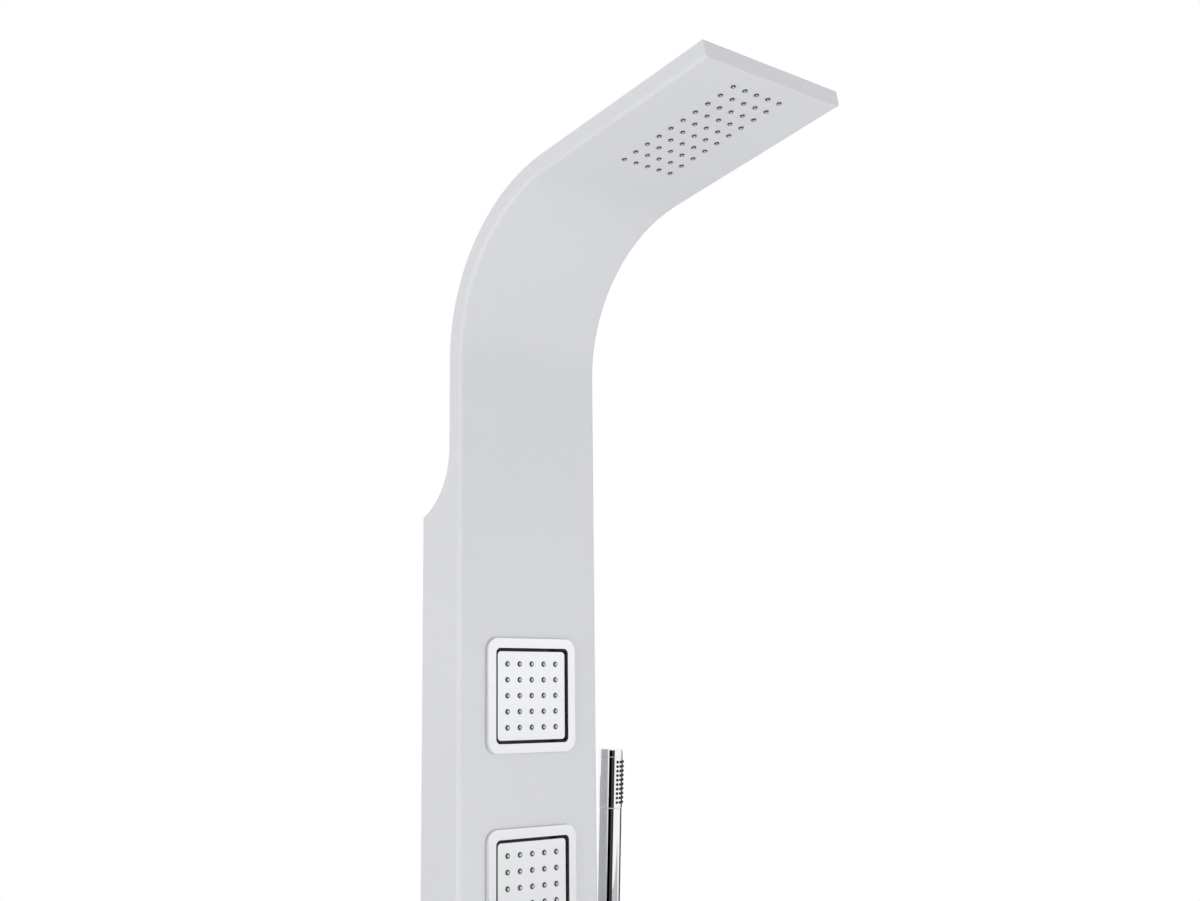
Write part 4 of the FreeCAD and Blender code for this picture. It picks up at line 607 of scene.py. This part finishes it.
# ---------------------------------------------------------------- diverter
def diverter_knob():
    """A hollow knob with fluted sides, a dished front and a grip across it."""
    profile = ([(4.05, 8), (8, 8), (8, 24), (20, 24), (20, 6.3), (21.2, 6.3), (22, 7.1), (22, 27)]
               + arc(19, 27, 3, 0, 90, 6)[1:] + [(14, 29.2), (0, 28.8), (0, 22), (4.05, 22), (4.05, 8)])
    knob = turned("diverter_knob_body", profile, ROUND_STEPS)
    take(knob)
    bpy.ops.object.mode_set(mode="EDIT")
    flute = 360 / 32

    def in_flute(face):
        middle = face.calc_center_median() / MM
        angle = math.degrees(math.atan2(middle.y, middle.x)) % flute
        return middle.xy.length > 21.5 and 10 < middle.z < 27 and angle < flute / 2

    pick(knob, "faces", in_flute)
    bpy.ops.mesh.inset(thickness=0.2 * MM, depth=-0.45 * MM)
    close_edit()
    settle(knob, on_face(z=DIVERTER_Z), "chrome", "diverter_handle", "diverter_knob")
    grip = cube("diverter_knob_grip", (-4, -19.5, 27.5), (4, 19.5, 33))
    slice_along_y(-12, 0, 12)
    for limit, size in ((18, (0.7, 1, 1)), (11, (0.88, 1, 1))):
        pick(grip, "verts", lambda spot: limit < abs(spot.co.y / MM) < limit + 6)
        bpy.ops.transform.resize(value=size)
    close_edit()
    settle(bevel(grip, 1.3, 4), on_face(z=DIVERTER_Z), "chrome", "diverter_handle")
    mark = turned("diverter_pointer",
                  [(0, 32.8), (1.3, 32.8)] + arc(0.9, 33.0, 0.4, 0, 90, 4) + [(0, 33.4)], 20)
    settle(mark, on_face(z=DIVERTER_Z) @ shift(0, 15.5, -0.3), "black_rubber", "diverter_handle")


def diverter_plate():
    """A ring with a rounded shoulder round the knob."""
    bore, edge, face = 19.2, 30, 4
    plate = turned("diverter_plate", [(bore, 0)] + shoulder(edge, face, 2, 6)
                   + [(bore, face), (bore, 0)], ROUND_STEPS)
    settle(plate, on_face(z=DIVERTER_Z), "chrome", "column", "diverter_escutcheon")


def diverter_marks():
    """Raised dots round the plate at the knob's three stops."""
    model = turned("dot", [(0, 0)] + shoulder(0.9, 0.35, 0.35, 4) + [(0, 0.35)], 16)
    places = [on_face(z=DIVERTER_Z) @ turn(angle, "Z") @ shift(0, 26.2, 3.9) for angle in (-90, 0, 90)]
    piece = copies("diverter_marks", model, places)
    settle(piece, Matrix(), "black_rubber", "column")


# ---------------------------------------------------------------- mixer
def mixer_dome():
    """A round plate whose middle rises as a hollow dome into the lever's ball."""
    bore, edge, face, outer, inner = 21.7, 34, 3, 24.2, 22.9
    dome = turned("mixer_dome", [(bore, 0)] + shoulder(edge, face, 1.4) + [(24.9, face)]
                  + arc(0, 0, outer, 8, 41.4, 12) + arc(0, 0, inner, 44.3, 17.8, 10)
                  + [(bore, 6.8), (bore, 0)], ROUND_STEPS)
    settle(dome, on_face(z=MIXER_Z), "chrome", "column", "mixer_escutcheon")


def mixer_lever():
    """The hollow ball, its rim tipped by seven degrees, and a slim blade that sweeps down and out."""
    outer, inner, rim = 27.6, 24.6, (24.9, 10.2)
    ball = turned("mixer_lever_ball",
                  [rim] + arc(0, 0, outer, 23.2, 90, 22)[:-1] + [(0, outer), (0, inner)]
                  + arc(0, 0, inner, 90, 25.5, 22)[1:] + [rim], ROUND_STEPS)
    settle(ball, on_face(z=MIXER_Z) @ turn(7), "chrome", "mixer_handle", "mixer_lever")
    thickness = 6
    blade = cube("mixer_lever_blade", (-7.5, -82, 0), (7.5, -9, thickness))
    slice_along_y(-70, -54, -36, -22)
    # place along the blade: height of its underside, thickness there, share of its width
    stations = {-82: (34.6, 5.4, 0.72), -70: (31.2, 5.6, 0.9), -54: (27.4, 5.9, 0.98),
                -36: (24.2, 6.2, 1.0), -22: (22.0, 6.4, 1.04), -9: (24.5, 2.6, 1.1)}
    for y, (low, height, width) in stations.items():
        for layer, target in ((thickness, low + height), (0, low)):
            pick(blade, "verts", lambda spot: (round(spot.co.y / MM), round(spot.co.z / MM)) == (y, layer))
            bpy.ops.transform.translate(value=(0, 0, (target - layer) * MM))
        pick(blade, "verts", lambda spot: round(spot.co.y / MM) == y)
        bpy.ops.transform.resize(value=(width, 1, 1))
    close_edit()
    bevel(blade, 1.8, 4, 40)
    settle(blade, on_face(z=MIXER_Z), "chrome", "mixer_handle")


# ---------------------------------------------------------------- threads, nuts and screws
def thread(name, length):
    """A screw thread from z = 0 up, cut level at both ends, with a bore."""
    piece = chain(name, [(THREAD_CORE, -THREAD_PITCH), (THREAD_CREST, -THREAD_PITCH / 2),
                         (THREAD_CORE, 0)])
    bpy.ops.object.mode_set(mode="OBJECT")
    modify(piece, "SCREW", angle=2 * math.pi, screw_offset=THREAD_PITCH * MM,
           iterations=int(length / THREAD_PITCH) + 3, steps=32, render_steps=32,
           use_merge_vertices=True, merge_threshold=1e-6)
    bpy.ops.object.mode_set(mode="EDIT")
    for place, outer in ((0, False), (length, True)):
        bpy.ops.mesh.select_all(action="SELECT")
        bpy.ops.mesh.bisect(plane_co=(0, 0, place * MM), plane_no=(0, 0, 1), use_fill=True,
                            clear_outer=outer, clear_inner=not outer)
    close_edit()
    return drill(piece, THREAD_BORE, -1, length + 1)


def hexagon(name, flat, low, high, bore):
    """A hexagonal nut with rounded corners."""
    deselect()
    bpy.ops.mesh.primitive_cylinder_add(vertices=6, radius=flat / math.cos(math.pi / 6) * MM,
                                        depth=(high - low) * MM, location=(0, 0, (low + high) / 2 * MM))
    piece = start(name)
    pick(piece, "faces", lambda face: abs(face.normal.z) > 0.9)
    bpy.ops.mesh.inset(thickness=flat * 0.1 * MM, depth=0)
    close_edit()
    take(piece)
    bpy.ops.object.transform_apply(location=True, rotation=True, scale=True)
    return bevel(drill(piece, bore, low - 1, high + 1), 0.7, 3)


def outlet():
    """Flange, elbow, nut and threaded end of the outlet on the flank."""
    reach, radius = 6.5, 9
    end_x = reach + radius
    place = shift(HALF_WIDTH, -27, DIVERTER_Z)
    flange = turned("outlet_flange", [(radius, -8), (10, -8), (10, 0)] + shoulder(14, 3, 1.4)
                    + [(radius, 3), (radius, -8)])
    settle(flange, place @ turn(90, "Y"), "chrome", "column", "outlet_elbow")
    bend = turned("outlet_bend_start", [(0, 0), (radius, 0), (radius, reach), (0, reach)], 32)
    settle(bend, place @ turn(90, "Y"), "chrome", "column")
    deselect()
    bpy.ops.mesh.primitive_circle_add(vertices=32, radius=radius * MM, location=(reach * MM, 0, 0),
                                      rotation=(0, math.pi / 2, 0))
    bpy.ops.object.transform_apply(location=True, rotation=True, scale=True)
    elbow = start("outlet_bend")
    bpy.ops.mesh.select_all(action="SELECT")
    bpy.ops.mesh.spin(steps=12, angle=-math.pi / 2, center=(reach * MM, 0, -radius * MM), axis=(0, 1, 0))
    bpy.ops.mesh.extrude_region_move(TRANSFORM_OT_translate={"value": (0, 0, -4 * MM)})
    close_edit()
    settle(elbow, place, "chrome", "column")
    nut = hexagon("outlet_nut", 11, -21, -13, THREAD_BORE)
    settle(nut, place @ shift(end_x, 0, 0), "chrome", "column")
    end = thread("outlet_thread", 14)
    settle(end, place @ shift(end_x, 0, -35), "brass", "column")


def handset_inlet():
    """The threaded end under the handset's foot."""
    length = 13
    end = thread("handset_inlet_thread", length)
    settle(end, on_handset() @ shift(0, 0, HANDSET_FOOT - length), "brass", "handset", "handset_inlet")


def unions():
    """The two inlets: a nut with a washer-like step in its bore."""
    bore, step = 10.3, 5.5
    for name, x in (("hot", -65), ("cold", 65)):
        place = shift(x, -1, MIXER_Z) @ turn(90)
        nut = hexagon(name + "_union_nut", 13, 0, 14, bore)
        settle(nut, place, "brass", "column", name + "_inlet_union")
        inner = turned(name + "_union_bore",
                       [(step, 10), (bore, 10), (bore, 11), (step, 11), (step, 10)], 32)
        settle(inner, place, "brass", "column")


def cover_screws():
    """Pan heads with a cross recess on the back cover."""
    head = turned("head", [(0, 0)] + shoulder(2.8, 1.5, 1.2) + [(0, 1.5)], 32)
    for angle in (0, 90):
        slot = cube("slot", (-1.7, -0.3, 0.8), (1.7, 0.3, 2))
        close_edit()
        slot.matrix_world = turn(angle, "Z")
        cut(head, slot)
    side = HALF_WIDTH - 6
    places = [base @ shift(x, y, -NECK_DEPTH) @ turn(180)
              for base, rows in ((on_arm(), (14, 200)), (on_face(), (140, 200)))
              for x in (-side, side) for y in rows]
    piece = copies("cover_screw_heads", head, places)
    settle(piece, Matrix(), "steel", "column", "cover_screws")


# ---------------------------------------------------------------- spray plates
def square_slab(name, half, corner, low, high):
    """A square plate with rounded corners between two heights."""
    deselect()
    bpy.ops.mesh.primitive_plane_add(size=2 * half * MM, location=(0, 0, low * MM))
    slab = start(name)
    bpy.ops.mesh.select_all(action="SELECT")
    bpy.ops.mesh.bevel(offset=corner * MM, segments=6, affect="VERTICES")
    bpy.ops.mesh.select_mode(type="FACE")
    bpy.ops.mesh.select_all(action="SELECT")
    bpy.ops.mesh.duplicate()
    bpy.ops.transform.translate(value=(0, 0, (high - low) * MM))
    bpy.ops.mesh.select_all(action="SELECT")
    bpy.ops.mesh.select_mode(type="EDGE")
    bpy.ops.mesh.bridge_edge_loops()
    close_edit()
    take(slab)
    bpy.ops.object.transform_apply(location=True, rotation=True, scale=True)
    return slab


def spray_plate(side, height):
    """A satin plate with a hole for each nozzle, set in a black band that paints the shadow in the gap
    round the plate.
    """
    body = side + "_jet_plate"
    hole = 2.6
    plate = square_slab(side + "_jet_plate_face", PLATE_HALF, PLATE_CORNER, PLATE_BACK, PLATE_FRONT)
    deselect()
    bpy.ops.mesh.primitive_cylinder_add(vertices=24, radius=hole * MM, depth=6 * MM)
    cut(plate, copies("holes", bpy.context.object, jet_places(Matrix())))
    bevel(plate, 0.25, 2, 60)
    settle(plate, on_face(z=height), "chrome", body, side + "_jet_spray_plate", finish="chrome_satin")
    # a black band round the plate's sides: painted shadow for the dark gap between the plate and the bezel
    rim = square_slab(side + "_jet_rim", half=42.3, corner=4, low=-3, high=1.3)
    cut(rim, square_slab("hollow", half=40.1, corner=2.4, low=-4, high=2))
    settle(bevel(rim, 0.3, 2, 60), on_face(z=height), "black_rubber", body)


# ---------------------------------------------------------------- softened nodes
def softened(node, width, slot, body, finish):
    """A merged copy of a node with its hard edges rounded."""
    source = frame["nodes"][node]
    piece = source.copy()
    piece.data = source.data.copy()
    piece.parent = None
    for key in list(piece.keys()):
        del piece[key]
    bpy.context.collection.objects.link(piece)
    piece.name = piece.data.name = node + "_edged"
    take(piece)
    bpy.ops.object.mode_set(mode="EDIT")
    bpy.ops.mesh.select_all(action="SELECT")
    bpy.ops.mesh.remove_doubles(threshold=MERGE_DISTANCE)
    bpy.ops.mesh.dissolve_limited(angle_limit=math.radians(1.0))
    close_edit()
    bevel(piece, width, 2, 50)
    settle(piece, Matrix(), slot, body, node, finish=finish)


jet_nozzles()
head_nozzles()
handset_nozzles()
handset_tubes()
diverter_knob()
diverter_plate()
diverter_marks()
mixer_dome()
mixer_lever()
outlet()
handset_inlet()
unions()
cover_screws()
for jet, jet_height in JET_HEIGHTS.items():
    spray_plate(jet, jet_height)
for row in SOFTENED:
    softened(*row)


# ---------------------------------------------------------------- studio
def studio():
    """A pale floor, soft lamps, a white surround, and dark cards that only gloss sees."""
    deselect()
    bpy.ops.mesh.primitive_plane_add(size=FLOOR_SIDE, location=(0, 0, FOOT))
    floor = bpy.context.object
    floor.name = "floor"
    floor.data.materials.append(Finish("floor_pale", (0.82, 0.82, 0.82), 0.0, 0.7).material)

    world = bpy.data.worlds.new("studio")
    bpy.context.scene.world = world
    world.use_nodes = True
    nodes = Nodes(world.node_tree)
    camera_ray, glossy_ray, clear_ray = [
        nodes.node("ShaderNodeLightPath", {}, {}, ray)
        for ray in ("Is Camera Ray", "Is Glossy Ray", "Is Transmission Ray")]
    shown = (camera_ray + glossy_ray + clear_ray).over(0.0, 1.0)
    level = WORLD_LEVEL + (1 - WORLD_LEVEL) * shown
    surround = nodes.tree.nodes["Background"]
    surround.inputs["Color"].default_value = (1, 1, 1, 1)
    nodes.tree.links.new(level.socket, surround.inputs["Strength"])

    for name, spot, aim, size, power in LAMPS:
        light = bpy.data.lights.new(name, "AREA")
        light.size, light.energy = size, power
        lamp = bpy.data.objects.new(name, light)
        bpy.context.collection.objects.link(lamp)
        lamp.location = spot
        lamp.visible_camera = lamp.visible_glossy = False
        lamp.rotation_euler = (Vector(aim) - Vector(spot)).to_track_quat("-Z", "Y").to_euler()

    for card_row in CARDS:
        card(*card_row)


def card(name, first, last, grey):
    """An upright strip that only gloss sees, between two bearings seen from the handset."""
    toward = Vector(CARD_TOWARD)
    across = Vector((-toward.y, toward.x))
    ends = [Vector(CARD_MIDDLE) + CARD_DISTANCE * (math.cos(angle) * toward + math.sin(angle) * across)
            for angle in (math.radians(first), math.radians(last))]
    deselect()
    bpy.ops.mesh.primitive_plane_add(size=1)
    strip = start(name)
    for side in (0, 1):
        for height in (CARD_LOW, CARD_HIGH):
            corner = Vector((side - 0.5, -0.5 if height == CARD_LOW else 0.5, 0))
            pick(strip, "verts", lambda spot: (spot.co - corner).length < MM)
            bpy.ops.transform.translate(value=Vector((*ends[side], height)) - corner)
    bpy.ops.object.mode_set(mode="OBJECT")
    shade = Finish(name, (0, 0, 0), 0.0, 1.0)
    shade.set("Specular IOR Level", 0.0)
    shade.set("Emission Color", (grey, grey, grey * 1.06, 1))
    shade.set("Emission Strength", 1.0)
    strip.data.materials.append(shade.material)
    strip.visible_camera = strip.visible_diffuse = strip.visible_shadow = False


def camera():
    """The photograph's viewpoint: before the left side at the upper jet's height, looking up a little."""
    azimuth, pitch, roll = (math.radians(angle) for angle in (CAMERA_TURN, CAMERA_PITCH, CAMERA_ROLL))
    forward = Vector((math.sin(azimuth) * math.cos(pitch), math.cos(azimuth) * math.cos(pitch),
                      math.sin(pitch)))
    level = Vector((math.cos(azimuth), -math.sin(azimuth), 0))
    upright = level.cross(forward)
    right = math.cos(roll) * level + math.sin(roll) * upright
    up = math.cos(roll) * upright - math.sin(roll) * level
    lens = bpy.data.cameras.new("camera")
    lens.lens, lens.sensor_width, lens.clip_start = CAMERA_LENS, CAMERA_SENSOR, CAMERA_CLIP
    eye = bpy.data.objects.new("camera", lens)
    bpy.context.collection.objects.link(eye)
    eye.matrix_world = Matrix.Translation(CAMERA_SPOT) @ Matrix((right, up, -forward)).transposed().to_4x4()
    bpy.context.scene.camera = eye


studio()
camera()
bpy.context.scene.view_settings.view_transform = "Standard"

deselect()
bpy.context.view_layer.update()
